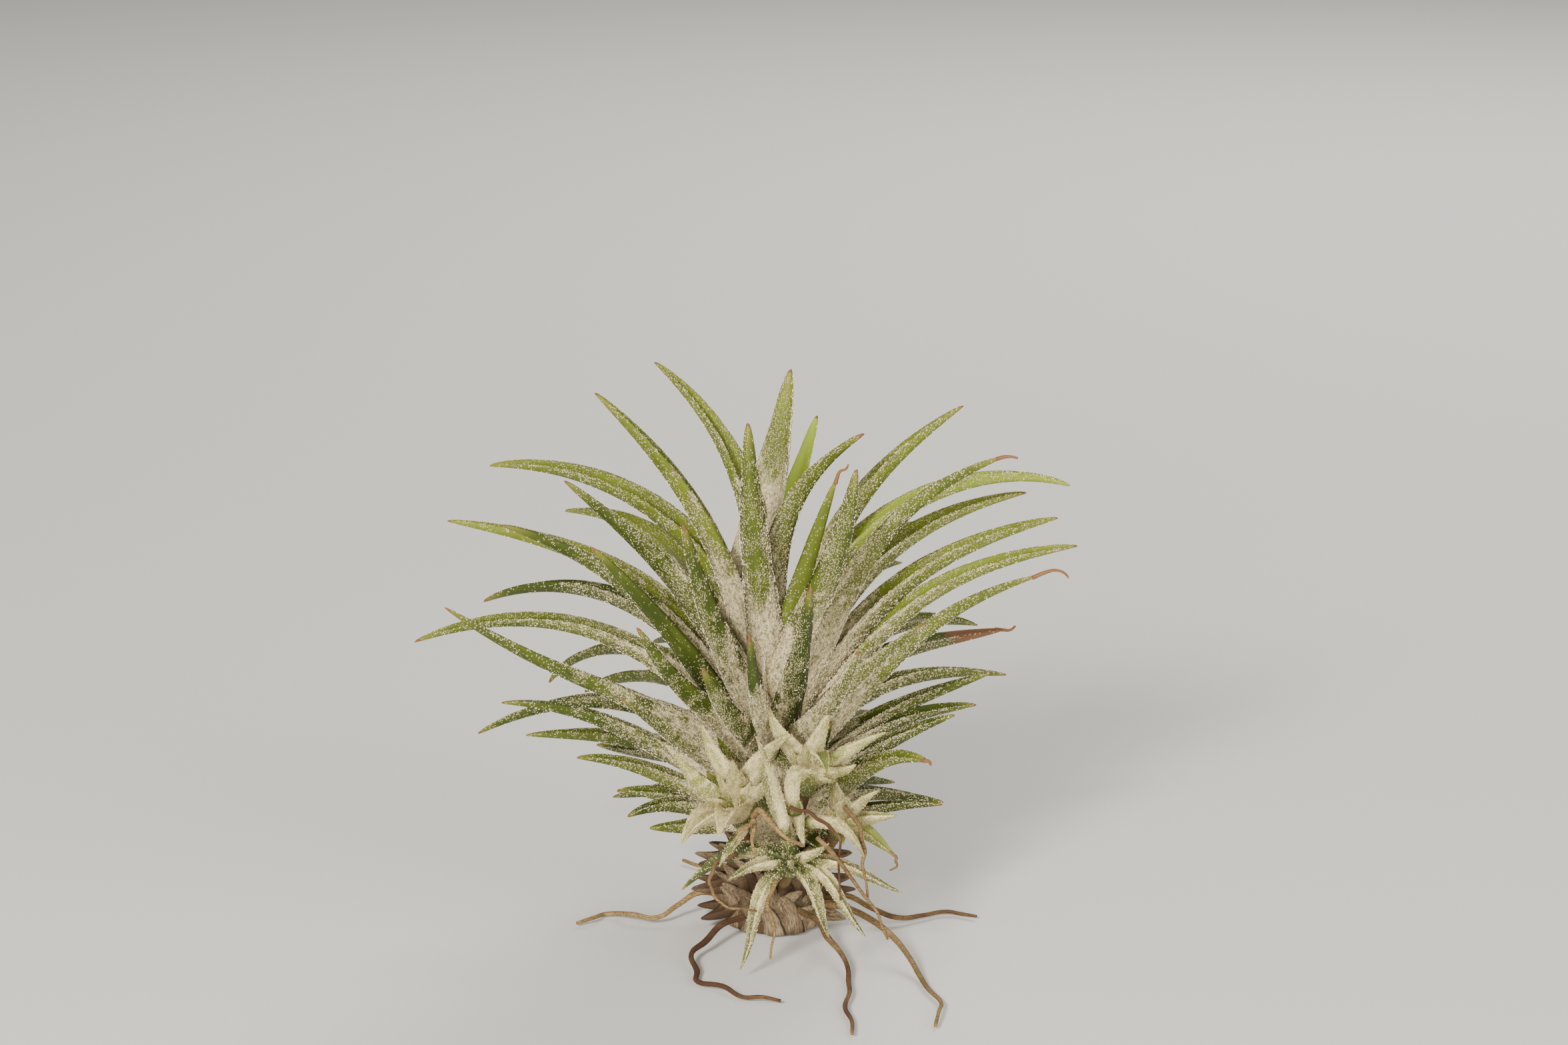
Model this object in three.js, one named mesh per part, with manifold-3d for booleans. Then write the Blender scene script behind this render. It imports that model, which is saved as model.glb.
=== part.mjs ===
// A sky plant: a small stemless air plant that stands by itself on a flat surface.
// It is a rosette of stiff, channelled, tapering leaves on a short dry stem, with four offsets at its
// front and a tuft of wiry roots at its foot. Lengths are in millimetres and angles in degrees.
// The origin is the middle of the flat spot that the stem rests on. +Z is up, and the side that the
// plant is seen from is -Y.
import * as THREE from "three";
import { mergeVertices } from "three/addons/utils/BufferGeometryUtils.js";
import Module from "manifold-3d";

const wasm = await Module();
wasm.setup();

// How the plant was looked at when its leaves were measured.
const VIEW_ELEVATION = 14;
const VIEW_DISTANCE = 650;
const VIEW_AXIS_UP = 55;

// The stem and the rosette's heart.
const FLAT_SPOT_RADIUS = 5.5;
const STEM_HEIGHT = 12;
const STEM_TOP_RADIUS = 4.6;
const SEAT_GAP = 0.3;
const HEART_RADIUS = 6.2;
const HEART_TOP = 40;

// The leaves. A width is the sheath's, and the blade narrows from it to the tip.
const CROWN_SHEATH_WIDTH = 6.8;
const MIDDLE_SHEATH_WIDTH = 6.2;
const LOWER_SHEATH_WIDTH = 5.4;
const OFFSET_SHEATH_WIDTH = 2.7;
const DRY_SHEATH_WIDTH = 4.4;
const LEAF_THICKNESS = 1.0;
const TIP_THINNING = 0.3;
const CHANNEL_DEPTH = 0.8;
const ROSETTE_TAPER = 0.6;
const OFFSET_TAPER = 0.8;
// How much wider than its sheath an offset's blade is before it narrows.
const OFFSET_SWELL = 0.45;
// How far a leaf keeps the direction of its base and of its tip, as shares of its reach.
const START_PULL = 0.46;
const END_PULL = 0.4;
// A long leaf is made in more steps than a short one.
const FEWEST_STEPS = 3.4;
const REACH_PER_STEP = 15;
// Where the leaves' bases stand: close about the axis, or wider for one that starts on another side.
const BASE_RING_RADIUS = 1.5;
const WIDE_RING_RADIUS = 3;

const ROOT_RADIUS = 0.5;
const OFFSET_HEART_RADIUS = 2;
const RUNNER_RADIUS = 1.1;
const SMALLEST_DETAIL = 0.08;

const radians = THREE.MathUtils.degToRad;

// A place read from the front: across and up as seen, and how far away from the stem it was judged to be.
function seen([across, up, away]) {
  const nearer = 1 + away / VIEW_DISTANCE;
  const height = VIEW_AXIS_UP + (up - VIEW_AXIS_UP) * nearer;
  const tilt = radians(VIEW_ELEVATION);
  return new THREE.Vector3(across * nearer, away, (height - away * Math.sin(tilt)) / Math.cos(tilt));
}

// A unit vector from an azimuth about Z, counted from +X, and an elevation above the horizontal.
function heading(azimuth, elevation) {
  const flat = Math.cos(radians(elevation));
  return new THREE.Vector3(
    Math.cos(radians(azimuth)) * flat,
    Math.sin(radians(azimuth)) * flat,
    Math.sin(radians(elevation)),
  );
}

function azimuthOf(place) {
  return THREE.MathUtils.radToDeg(Math.atan2(place.y, place.x));
}

// A closed three.js geometry as a solid, and a solid as a three.js geometry.
function solidOf(geometry) {
  const bare = geometry.clone();
  bare.deleteAttribute("normal");
  bare.deleteAttribute("uv");
  const merged = mergeVertices(bare, 1e-4);
  return new wasm.Manifold(
    new wasm.Mesh({
      numProp: 3,
      vertProperties: new Float32Array(merged.attributes.position.array),
      triVerts: new Uint32Array(merged.index.array),
    }),
  );
}

function geometryOf(solid) {
  const mesh = solid.getMesh();
  const geometry = new THREE.BufferGeometry();
  geometry.setAttribute("position", new THREE.BufferAttribute(new Float32Array(mesh.vertProperties), 3));
  geometry.setIndex(new THREE.BufferAttribute(new Uint32Array(mesh.triVerts), 1));
  geometry.computeVertexNormals();
  return geometry;
}

// Joins solids into one body. Loose scraps and sealed hollows are dropped.
function fuse(solids) {
  const bodies = wasm.Manifold.union(solids).simplify(SMALLEST_DETAIL).decompose();
  return bodies.reduce((best, body) => (body.volume() > best.volume() ? body : best));
}

// A leaf's middle line: it leaves its base at the angle rise and reaches its tip at the angle fall.
function leafLine({ base, tip, rise, fall }) {
  const azimuth = azimuthOf(tip.clone().sub(base));
  const reach = tip.distanceTo(base);
  const start = base.clone().addScaledVector(heading(azimuth, rise), reach * START_PULL);
  const end = tip.clone().addScaledVector(heading(azimuth, fall), -reach * END_PULL);
  return { line: new THREE.CubicBezierCurve3(base, start, end, tip), side: heading(azimuth + 90, 0) };
}

// The corners of a leaf's section, as across and up: a channel, hollow above and keeled below.
function leafSection(half, thick) {
  const cup = half * CHANNEL_DEPTH;
  const keel = -cup * 0.1 - thick * 0.45;
  return [
    [-half, cup],
    [-half * 0.42, keel],
    [half * 0.42, keel],
    [half, cup],
    [0, thick * 0.5],
  ];
}

// A leaf's blade: its section swept along its line, narrowing until it closes to a point.
function leafSolid({ width, taper = ROSETTE_TAPER, swell = 0, ...leaf }) {
  const { line, side } = leafLine(leaf);
  const steps = Math.round(FEWEST_STEPS + leaf.tip.distanceTo(leaf.base) / REACH_PER_STEP);
  const points = [];
  for (let i = 0; i < steps; i += 1) {
    const along = 1 - (1 - i / steps) ** 1.2;
    const half = (width / 2) * (1 + swell * Math.sin(Math.PI * along)) * (1 - along) ** taper;
    const thick = LEAF_THICKNESS * (1 - TIP_THINNING * along);
    const up = new THREE.Vector3().crossVectors(line.getTangent(along), side);
    for (const [across, raised] of leafSection(half, thick)) {
      points.push(line.getPoint(along).addScaledVector(side, across).addScaledVector(up, raised));
    }
  }
  const corners = points.length / steps;
  const tip = points.push(line.getPoint(1)) - 1;
  const faces = Array.from({ length: corners - 2 }, (_, j) => [j, corners - 1, j + 1]);
  for (let i = 0; i < steps; i += 1) {
    for (let j = 0; j < corners; j += 1) {
      const a = i * corners + j;
      const b = i * corners + ((j + 1) % corners);
      if (i === steps - 1) {
        faces.push([a, b, tip]);
      } else {
        faces.push([a, b, a + corners], [b, b + corners, a + corners]);
      }
    }
  }
  const geometry = new THREE.BufferGeometry().setFromPoints(points);
  geometry.setIndex(faces.flat());
  return solidOf(geometry);
}

// A tube through points, for a root or an offset's runner.
function tubeSolid(places, radius, steps) {
  const path = new THREE.CatmullRomCurve3(places.map((place) => new THREE.Vector3(...place)));
  const sides = 6;
  const corners = Array.from({ length: sides }, (_, i) => {
    const turn = (i / sides) * 2 * Math.PI;
    return new THREE.Vector2(Math.cos(turn) * radius, Math.sin(turn) * radius);
  });
  const settings = { steps, extrudePath: path, bevelEnabled: false };
  return solidOf(new THREE.ExtrudeGeometry(new THREE.Shape(corners), settings));
}

// A body turned about Z, from pairs of radius and height that start and end on the axis.
function turnedSolid(profile, sides) {
  const outline = profile.map(([radius, height]) => new THREE.Vector2(radius, height));
  return solidOf(new THREE.LatheGeometry(outline, sides).rotateX(Math.PI / 2));
}

// The rosette's leaves, as read from the front: across, up and away of the tip, then rise and fall.
// A sixth number is the azimuth of a base that stands on another side than the one the leaf leans to.
const CROWN_LEAVES = [
  [-16.0, 76.5, 10, 87, 34],
  [2.4, 75.6, 8, 94, 84, 190],
  [-3.4, 68.4, -10, 76, 86],
  [5.9, 69.4, 14, 92, 60, 200],
  [12.3, 66.9, -7, 94, 34],
  [-24.0, 72.4, -3, 78, 46],
  [25.6, 70.7, 6, 77, 33],
  [8.6, 61.0, -6, 82, 72],
  [11.3, 62.2, -16, 66, 82],
];
const UPPER_LEAVES = [
  [31.0, 63.8, -8, 67, 24],
  [40.0, 59.9, 12, 94, -20],
  [-38.3, 62.6, 8, 89, -4],
  [-28.2, 60.6, -12, 68, 42],
  [-12.2, 54.7, -25, 50, 64],
  [-44.1, 55.2, 0, 65, 11],
  [-36.6, 54.6, -14, 53, 23],
  [34.2, 59.0, 16, 74, 6],
  [38.5, 55.6, 8, 61, 12],
  [-28.2, 56.5, 30, 72, -10],
  [19.4, 54.9, 32, 74, -2],
];
const MIDDLE_LEAVES = [
  [-24.7, 51.8, -22, 54, 46],
  [-48.8, 38.7, 0, 56, -20],
  [-44.6, 43.5, -14, 38, 38],
  [-18.5, 40.8, -26, 46, 54],
  [-9.6, 35.1, -30, 42, 52],
  [-3.2, 39.9, -34, 42, 58],
  [5.2, 46.2, -30, 50, 62],
  [11.7, 37.6, -28, 44, 58],
  [41.2, 51.8, 2, 62, 9],
  [36.0, 47.8, -14, 46, 22],
  [20.7, 41.5, -22, 54, 40],
  [-39.4, 44.2, 22, 68, -26],
  [17.3, 49.5, 34, 64, -10],
  [27.7, 41.0, 28, 66, -18],
  [31.2, 40.4, 24, 58, 2],
];
const LOWER_LEAVES = [
  [-30.6, 33.1, 26, 72, -50],
  [-25.8, 31.8, 32, 58, -28],
  [31.7, 34.2, 16, 66, -12],
  [29.7, 34.5, 8, 44, 16],
  [27.7, 30.1, 4, 40, 6],
  [24.8, 28.7, -5, 28, 24],
  [-40.4, 26.1, 12, 52, -30],
  [-37.1, 30.4, -8, 25, 6],
  [-20.7, 31.1, -24, 36, 38],
  [-33.9, 25.9, 10, 28, -5],
  [-24.3, 24.6, 20, 18, 2],
];
const FOOT_LEAVES = [
  [21.0, 22.3, -10, 20, -4],
  [23.2, 16.3, -4, 4, 2],
  [-26.9, 22.8, -8, 22, 9],
  [-21.5, 18.2, 2, 10, 2],
  [-20.0, 14.6, -7, 8, -18],
  [-17.0, 13.0, -4, -8, 8],
];
const TIERS = [
  { rows: CROWN_LEAVES, baseHeight: 29, width: CROWN_SHEATH_WIDTH },
  { rows: UPPER_LEAVES, baseHeight: 25, width: CROWN_SHEATH_WIDTH },
  { rows: MIDDLE_LEAVES, baseHeight: 21, width: MIDDLE_SHEATH_WIDTH },
  { rows: LOWER_LEAVES, baseHeight: 17.5, width: LOWER_SHEATH_WIDTH },
  { rows: FOOT_LEAVES, baseHeight: 14.6, width: LOWER_SHEATH_WIDTH },
];
// Rows in even turns: the ones that the front hides, and the short sheaths that clasp the heart in front.
const EVEN_ROWS = [
  { from: 76, to: 107, count: 3, reach: 45, lift: 26, rise: 68, fall: -8, baseHeight: 25, width: 6.2 },
  { from: 68, to: 114, count: 4, reach: 42, lift: 11, rise: 58, fall: -20, baseHeight: 21, width: 6 },
  { from: 52, to: 120, count: 5, reach: 34, lift: 3, rise: 38, fall: -18, baseHeight: 18, width: 5.2 },
  { from: 22, to: 152, count: 6, reach: 24, lift: -2, rise: 16, fall: -14, baseHeight: 15, width: 4.6 },
  { from: -170, to: -10, count: 7, reach: 14, lift: 46, rise: 26, fall: 66, baseHeight: 13.6, width: 6.4 },
  { from: -140, to: -40, count: 4, reach: 15, lift: 54, rise: 34, fall: 66, baseHeight: 18.5, width: 6.2 },
];

function ringBase(azimuth, radius, height) {
  return heading(azimuth, 0).multiplyScalar(radius).setZ(height);
}

function rosetteLeaves() {
  const read = TIERS.flatMap(({ rows, baseHeight, width }) =>
    rows.map(([across, up, away, rise, fall, baseAzimuth]) => {
      const tip = seen([across, up, away]);
      const base =
        baseAzimuth === undefined
          ? ringBase(azimuthOf(tip), BASE_RING_RADIUS, baseHeight)
          : ringBase(baseAzimuth, WIDE_RING_RADIUS, baseHeight);
      return { base, tip, rise, fall, width };
    }),
  );
  const even = EVEN_ROWS.flatMap(({ from, to, count, reach, lift, rise, fall, baseHeight, width }) =>
    Array.from({ length: count }, (_, i) => {
      const azimuth = from + ((to - from) * i) / (count - 1);
      const base = ringBase(azimuth, BASE_RING_RADIUS, baseHeight);
      const tip = base.clone().addScaledVector(heading(azimuth, lift), reach);
      return { base, tip, rise, fall, width };
    }),
  );
  return [...read, ...even];
}

function rosetteSolid() {
  const profile = [
    [0, STEM_HEIGHT + SEAT_GAP],
    [STEM_TOP_RADIUS, STEM_HEIGHT + SEAT_GAP],
    [HEART_RADIUS - 0.4, STEM_HEIGHT + 4],
    [HEART_RADIUS, STEM_HEIGHT + 9],
    [HEART_RADIUS - 1, STEM_HEIGHT + 15],
    [HEART_RADIUS - 3, STEM_HEIGHT + 21],
    [0, HEART_TOP],
  ];
  return fuse([turnedSolid(profile, 14), ...rosetteLeaves().map(leafSolid)]);
}

// The stem: a stub with the dry sheaths of fallen leaves in rings, and the roots at its foot.
const STEM_PROFILE = [
  [0, 0],
  [FLAT_SPOT_RADIUS, 0],
  [FLAT_SPOT_RADIUS + 0.6, 1.2],
  [FLAT_SPOT_RADIUS - 0.2, 6],
  [STEM_TOP_RADIUS, STEM_HEIGHT],
  [0, STEM_HEIGHT],
];
const STEM_SIDES = 16;
const SHEATH_RINGS = [
  { from: 8, to: 200, count: 8, height: 9.4, reach: 8, lift: 0, rise: -20, fall: 20 },
  { from: -10, to: 190, count: 8, height: 6.5, reach: 8.6, lift: -8, rise: -30, fall: 14 },
  { from: -22, to: 202, count: 8, height: 3.6, reach: 8, lift: -14, rise: -30, fall: 6 },
];
// Each root's points: across, away and height. They leave the stem and lie pressed to the surface.
const ROOTS = [
  [[2, -3, 4], [6, -9, 3.2], [9, -17, 1.4], [10, -26, 0.4], [9.4, -36, 0.4], [10.2, -46, 0.4]],
  [[3, -2, 5], [10, -8, 4.6], [16, -15, 3], [19.5, -24, 0.5], [22, -34, 0.4], [21, -43, 0.4]],
  [[-2, -3, 3], [-7, -9, 2.6], [-11, -17, 1.2], [-10, -26, 0.4], [-4, -32, 0.4], [1, -33.5, 0.4]],
  [[3, 0, 3], [10, 1, 3.4], [17, -1, 0.9], [24, 3, 0.4], [28, 1, 0.4]],
  [[-3, 0, 3], [-10, 2, 3.6], [-16, -1, 0.9], [-23, 2, 0.4], [-27, -2, 0.4]],
  [[1, 3, 3], [4, 10, 3], [3, 17, 0.8], [8, 24, 0.4], [7, 30, 0.4]],
  [[-1, 3, 2.5], [-6, 9, 2.6], [-9, 16, 0.8], [-8, 22, 0.4], [-13, 26, 0.4]],
];
const ROOT_STEPS = 12;

// A root's underside is flat where it lies on the surface.
function flattened(root) {
  return root.trimByPlane([0, 0, 1], 0);
}

function stemSolid() {
  const sheaths = SHEATH_RINGS.flatMap(({ from, to, count, height, reach, lift, rise, fall }) =>
    Array.from({ length: count }, (_, i) => {
      const azimuth = from + ((to - from) * i) / (count - 1);
      const base = ringBase(azimuth, WIDE_RING_RADIUS, height);
      const tip = base.clone().addScaledVector(heading(azimuth, lift), reach);
      return leafSolid({ base, tip, rise, fall, width: DRY_SHEATH_WIDTH });
    }),
  );
  const roots = ROOTS.map((places) => flattened(tubeSolid(places, ROOT_RADIUS, ROOT_STEPS)));
  return fuse([turnedSolid(STEM_PROFILE, STEM_SIDES), ...sheaths, ...roots]);
}

// The stem grown by the seat gap, which cuts the foot of each offset's runner to fit against it.
function stemClearance() {
  const grown = STEM_PROFILE.map(([radius, height]) => [radius ? radius + SEAT_GAP : 0, height]);
  return turnedSolid(grown, STEM_SIDES);
}

// The offsets: small heads on runners. A centre and its leaves are read from the front, as above,
// and a foot is a place on the stem.
const OFFSETS = {
  offset_left: {
    centre: [-4.5, 14.7, -14],
    foot: [-2.4, -4, 9.6],
    leaves: [
      [-9.9, 27.7, -18, 70, 74],
      [-13.6, 23.4, -17, 34, 58],
      [2.7, 26.1, -22, 66, 34],
      [-12.2, 11.5, -25, 52, -58],
      [-7.2, 12.2, -28, 46, -50],
      [-5.6, 22.6, -21, 64, 74],
      [-0.6, 20.4, -24, 60, 66],
    ],
  },
  offset_right: {
    centre: [4.2, 17.0, -14.5],
    foot: [1.6, -4, 10.4],
    leaves: [
      [0.6, 28.6, -19, 76, 80],
      [8.0, 28.2, -20, 66, 66],
      [14.9, 26.2, -18, 40, 28],
      [7.4, 20.6, -25, 60, -50],
      [4.4, 24.6, -22, 66, 80],
      [11.4, 22.0, -19, 50, 50],
    ],
  },
  offset_front: {
    centre: [2.3, 7.9, -20],
    foot: [1.0, -4, 6.4],
    leaves: [
      [-4.5, -5.4, -24, -20, -56],
      [7.9, -1.3, -26, -6, -50],
      [12.6, -0.9, -24, 10, -38],
      [17.3, 4.6, -21, 14, -20],
      [7.7, 12.2, -25, 38, 44],
      [-5.4, 7.0, -25, 20, -10],
      [-12.2, 4.8, -17, 30, -46],
      [-1.5, 22.0, -25, 84, 84],
      [3.2, 10.2, -30, 20, 40],
    ],
  },
  offset_side: {
    centre: [9.0, 13.0, -12],
    foot: [4.2, -2, 8],
    leaves: [
      [16.7, 9.3, -16, 10, -24],
      [17.0, 14.8, -13, 24, 10],
      [10.2, 17.5, -21, 50, 44],
      [12.6, 8.6, -22, 14, -36],
      [8.6, 19.6, -17, 70, 70],
      [14.6, 18.4, -14, 50, 34],
    ],
  },
};

function offsetSolid({ centre, foot, leaves }) {
  const middle = seen(centre);
  const heart = new THREE.SphereGeometry(OFFSET_HEART_RADIUS, 8, 6).translate(...middle.toArray());
  const halfway = middle.clone().lerp(new THREE.Vector3(...foot), 0.5);
  halfway.z = middle.z * 0.4 + foot[2] * 0.6;
  const runner = tubeSolid([middle.toArray(), halfway.toArray(), foot], RUNNER_RADIUS, 4);
  const blades = leaves.map(([across, up, away, rise, fall]) =>
    leafSolid({
      base: middle,
      tip: seen([across, up, away]),
      rise,
      fall,
      width: OFFSET_SHEATH_WIDTH,
      taper: OFFSET_TAPER,
      swell: OFFSET_SWELL,
    }),
  );
  return fuse([solidOf(heart), runner, ...blades]).subtract(stemClearance());
}

function namedMesh(name, solid, material) {
  const mesh = new THREE.Mesh(geometryOf(solid), material);
  mesh.name = name;
  return mesh;
}

const leafMaterial = new THREE.MeshStandardMaterial({ color: 0x8f9c70, roughness: 0.8, metalness: 0 });
const offsetMaterial = new THREE.MeshStandardMaterial({ color: 0xb4b79a, roughness: 0.85, metalness: 0 });
const stemMaterial = new THREE.MeshStandardMaterial({ color: 0x7a5a3c, roughness: 0.9, metalness: 0 });

const plant = new THREE.Group();
plant.add(namedMesh("rosette", rosetteSolid(), leafMaterial));
plant.add(namedMesh("stem", stemSolid(), stemMaterial));
for (const [name, offset] of Object.entries(OFFSETS)) {
  plant.add(namedMesh(name, offsetSolid(offset), offsetMaterial));
}

export default plant;
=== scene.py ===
# %% [markdown]
# # A sky plant, leaf by leaf
#
# A sky plant is a small air plant. It has no pot and no soil, and drinks through its leaves, which
# are covered in tiny silver scales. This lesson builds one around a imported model: a rosette of
# stiff, arching, channelled leaves, four young offsets at its front, a dry stem and wiry roots.
#
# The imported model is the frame. It says where everything is, in metres, with +Z up and the side
# that is seen at -Y. Each new piece stands in for one of its nodes, and keeps that node's place.

# %% The frame
import math

import bpy
import numpy as np
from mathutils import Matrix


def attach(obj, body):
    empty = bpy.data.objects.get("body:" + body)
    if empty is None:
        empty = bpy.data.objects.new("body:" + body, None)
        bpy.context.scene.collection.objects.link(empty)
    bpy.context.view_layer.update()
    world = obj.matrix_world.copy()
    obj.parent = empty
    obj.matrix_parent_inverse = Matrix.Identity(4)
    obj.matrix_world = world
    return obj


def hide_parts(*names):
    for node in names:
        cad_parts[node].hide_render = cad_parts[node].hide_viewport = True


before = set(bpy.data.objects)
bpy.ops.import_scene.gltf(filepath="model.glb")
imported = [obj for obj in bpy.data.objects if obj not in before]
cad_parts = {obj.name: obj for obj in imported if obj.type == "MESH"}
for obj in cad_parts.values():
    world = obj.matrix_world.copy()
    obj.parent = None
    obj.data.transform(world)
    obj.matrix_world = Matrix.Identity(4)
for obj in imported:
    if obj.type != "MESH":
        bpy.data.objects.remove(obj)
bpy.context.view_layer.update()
MM = 0.001
print("nodes:", sorted(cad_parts))

# %% [markdown]
# ## The camera
#
# The photograph looks slightly down on the plant from some way off. A long lens from 65 cm gives
# the same flat perspective. The frame is 212 mm wide at the plant, so the lens follows from the
# sensor's width. The camera comes first, because every other choice is judged through it.

# %% The camera
VIEW_ELEVATION = math.radians(14)
VIEW_DISTANCE_MM = 650
VIEW_DISTANCE = VIEW_DISTANCE_MM * MM
VIEW_WIDTH = 211.7 * MM
VIEW_AXIS_UP = 55
AIM = (1.44 * MM, 0, VIEW_AXIS_UP * MM / math.cos(VIEW_ELEVATION))
SENSOR_WIDTH = 36


def deselect_all():
    """Nothing stays selected, so that the next operator acts only on what it is given."""
    if bpy.context.object and bpy.context.object.mode != "OBJECT":
        bpy.ops.object.mode_set(mode="OBJECT")
    bpy.ops.object.select_all(action="DESELECT")


def pick(*objects):
    """Selects these objects alone and makes the first one active."""
    deselect_all()
    for chosen in objects:
        chosen.select_set(True)
    bpy.context.view_layer.objects.active = objects[0]


deselect_all()
bpy.ops.object.camera_add(
    location=(
        AIM[0],
        AIM[1] - VIEW_DISTANCE * math.cos(VIEW_ELEVATION),
        AIM[2] + VIEW_DISTANCE * math.sin(VIEW_ELEVATION),
    ),
    rotation=(math.pi / 2 - VIEW_ELEVATION, 0, 0),
)
camera = bpy.context.object
camera.name = "camera"
camera.data.sensor_width = SENSOR_WIDTH
camera.data.lens = SENSOR_WIDTH * VIEW_DISTANCE / VIEW_WIDTH
camera.data.clip_start = 0.01
camera.data.clip_end = 30
bpy.context.scene.camera = camera
print("lens in mm:", round(camera.data.lens, 1))

# %% [markdown]
# ## Leaf lines
#
# Each leaf is a long arc. Four numbers fix it in the vertical plane that it grows in: where its
# base and its tip are, how steeply it rises from the base, and how steeply it leaves the tip. A
# cubic Bezier curve needs just those. The tips are read from the front, as across and up, with a
# judged distance away from the viewer, so one small function turns such a reading into a place.

# %% Reading a place from the front
# How far a leaf keeps the direction of its base and of its tip, as shares of its reach.
START_PULL = 0.46
END_PULL = 0.4


def seen(across, up, away):
    """The place, in mm, of a point read from the front."""
    nearer = 1 + away / VIEW_DISTANCE_MM
    height = VIEW_AXIS_UP + (up - VIEW_AXIS_UP) * nearer
    upright = (height - away * math.sin(VIEW_ELEVATION)) / math.cos(VIEW_ELEVATION)
    return np.array([across * nearer, away, upright])


def heading(azimuth, elevation):
    """A unit vector, from degrees about Z counted from +X and degrees above the horizontal."""
    flat = math.cos(math.radians(elevation))
    turn = math.radians(azimuth)
    return np.array([math.cos(turn) * flat, math.sin(turn) * flat, math.sin(math.radians(elevation))])


def azimuth_of(place):
    return math.degrees(math.atan2(place[1], place[0]))


def reach_of(leaf):
    """How far the tip is from the base, in mm."""
    return np.linalg.norm(leaf["tip"] - leaf["base"])


def leaf_line(leaf):
    """The four control points of a leaf's middle line, and its horizontal side direction."""
    if "line" in leaf:
        return leaf["line"], leaf["side"]
    base, tip, reach = leaf["base"], leaf["tip"], reach_of(leaf)
    azimuth = azimuth_of(tip - base)
    start = base + heading(azimuth, leaf["rise"]) * reach * START_PULL
    end = tip - heading(azimuth, leaf["fall"]) * reach * END_PULL
    return np.array([base, start, end, tip]), heading(azimuth + 90, 0)


def unit(vectors):
    """The same directions, each one unit long."""
    return vectors / np.maximum(np.linalg.norm(vectors, axis=1, keepdims=True), 1e-12)


def on_line(points, along):
    """Places and directions on a cubic Bezier curve, for an array of shares along it."""
    t = along[:, None]
    s = 1 - t
    place = s**3 * points[0] + 3 * s**2 * t * points[1] + 3 * s * t**2 * points[2] + t**3 * points[3]
    run = 3 * s**2 * (points[1] - points[0]) + 6 * s * t * (points[2] - points[1])
    run = run + 3 * t**2 * (points[3] - points[2])
    return place, unit(run)


print("a tip seen 40 mm to the right:", np.round(seen(40, 60, 12), 1))

# %% [markdown]
# ## The leaves of the rosette
#
# The front leaves are placed one by one, because no two match and the eye knows the outline. The
# tiers go from the crown's upright leaves down to the short ones at the foot. Rows in even turns
# stand at the back, where nothing says more, and as short sheaths that clasp the heart.

# %% The rosette's tables
# Across, up and away of the tip in mm, then rise and fall in degrees. A sixth number is the azimuth
# of a base that stands on another side than the one that the leaf leans to.
CROWN_LEAVES = [
    [-16.0, 76.5, 10, 87, 34],
    [2.4, 75.6, 8, 94, 84, 190],
    [-3.4, 68.4, -10, 76, 86],
    [5.9, 69.4, 14, 92, 60, 200],
    [12.3, 66.9, -7, 94, 34],
    [-24.0, 72.4, -3, 78, 46],
    [25.6, 70.7, 6, 77, 33],
    [8.6, 61.0, -6, 82, 72],
    [11.3, 62.2, -16, 66, 82],
]
UPPER_LEAVES = [
    [31.0, 63.8, -8, 67, 24],
    [40.0, 59.9, 12, 94, -20],
    [-38.3, 62.6, 8, 89, -4],
    [-28.2, 60.6, -12, 68, 42],
    [-12.2, 54.7, -25, 50, 64],
    [-44.1, 55.2, 0, 65, 11],
    [-36.6, 54.6, -14, 53, 23],
    [34.2, 59.0, 16, 74, 6],
    [38.5, 55.6, 8, 61, 12],
    [-28.2, 56.5, 30, 72, -10],
    [19.4, 54.9, 32, 74, -2],
]
MIDDLE_LEAVES = [
    [-24.7, 51.8, -22, 54, 46],
    [-48.8, 38.7, 0, 56, -20],
    [-44.6, 43.5, -14, 38, 38],
    [-18.5, 40.8, -26, 46, 54],
    [-9.6, 35.1, -30, 42, 52],
    [-3.2, 39.9, -34, 42, 58],
    [5.2, 46.2, -30, 50, 62],
    [11.7, 37.6, -28, 44, 58],
    [41.2, 51.8, 2, 62, 9],
    [36.0, 47.8, -14, 46, 22],
    [20.7, 41.5, -22, 54, 40],
    [-39.4, 44.2, 22, 68, -26],
    [17.3, 49.5, 34, 64, -10],
    [27.7, 41.0, 28, 66, -18],
    [31.2, 40.4, 24, 58, 2],
]
LOWER_LEAVES = [
    [-30.6, 33.1, 26, 72, -50],
    [-25.8, 31.8, 32, 58, -28],
    [31.7, 34.2, 16, 66, -12],
    [29.7, 34.5, 8, 44, 16],
    [27.7, 30.1, 4, 40, 6],
    [24.8, 28.7, -5, 28, 24],
    [-40.4, 26.1, 12, 52, -30],
    [-37.1, 30.4, -8, 25, 6],
    [-20.7, 31.1, -24, 36, 38],
    [-33.9, 25.9, 10, 28, -5],
    [-24.3, 24.6, 20, 18, 2],
]
FOOT_LEAVES = [
    [21.0, 22.3, -10, 20, -4],
    [23.2, 16.3, -4, 4, 2],
    [-26.9, 22.8, -8, 22, 9],
    [-21.5, 18.2, 2, 10, 2],
    [-20.0, 14.6, -7, 8, -18],
    [-17.0, 13.0, -4, -8, 8],
]
# Rows, height of the base and width of the sheath, in mm.
TIERS = {
    "crown": (CROWN_LEAVES, 29, 6.8),
    "upper": (UPPER_LEAVES, 25, 6.8),
    "middle": (MIDDLE_LEAVES, 21, 6.2),
    "lower": (LOWER_LEAVES, 17.5, 5.4),
    "foot": (FOOT_LEAVES, 14.6, 5.4),
}
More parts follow.
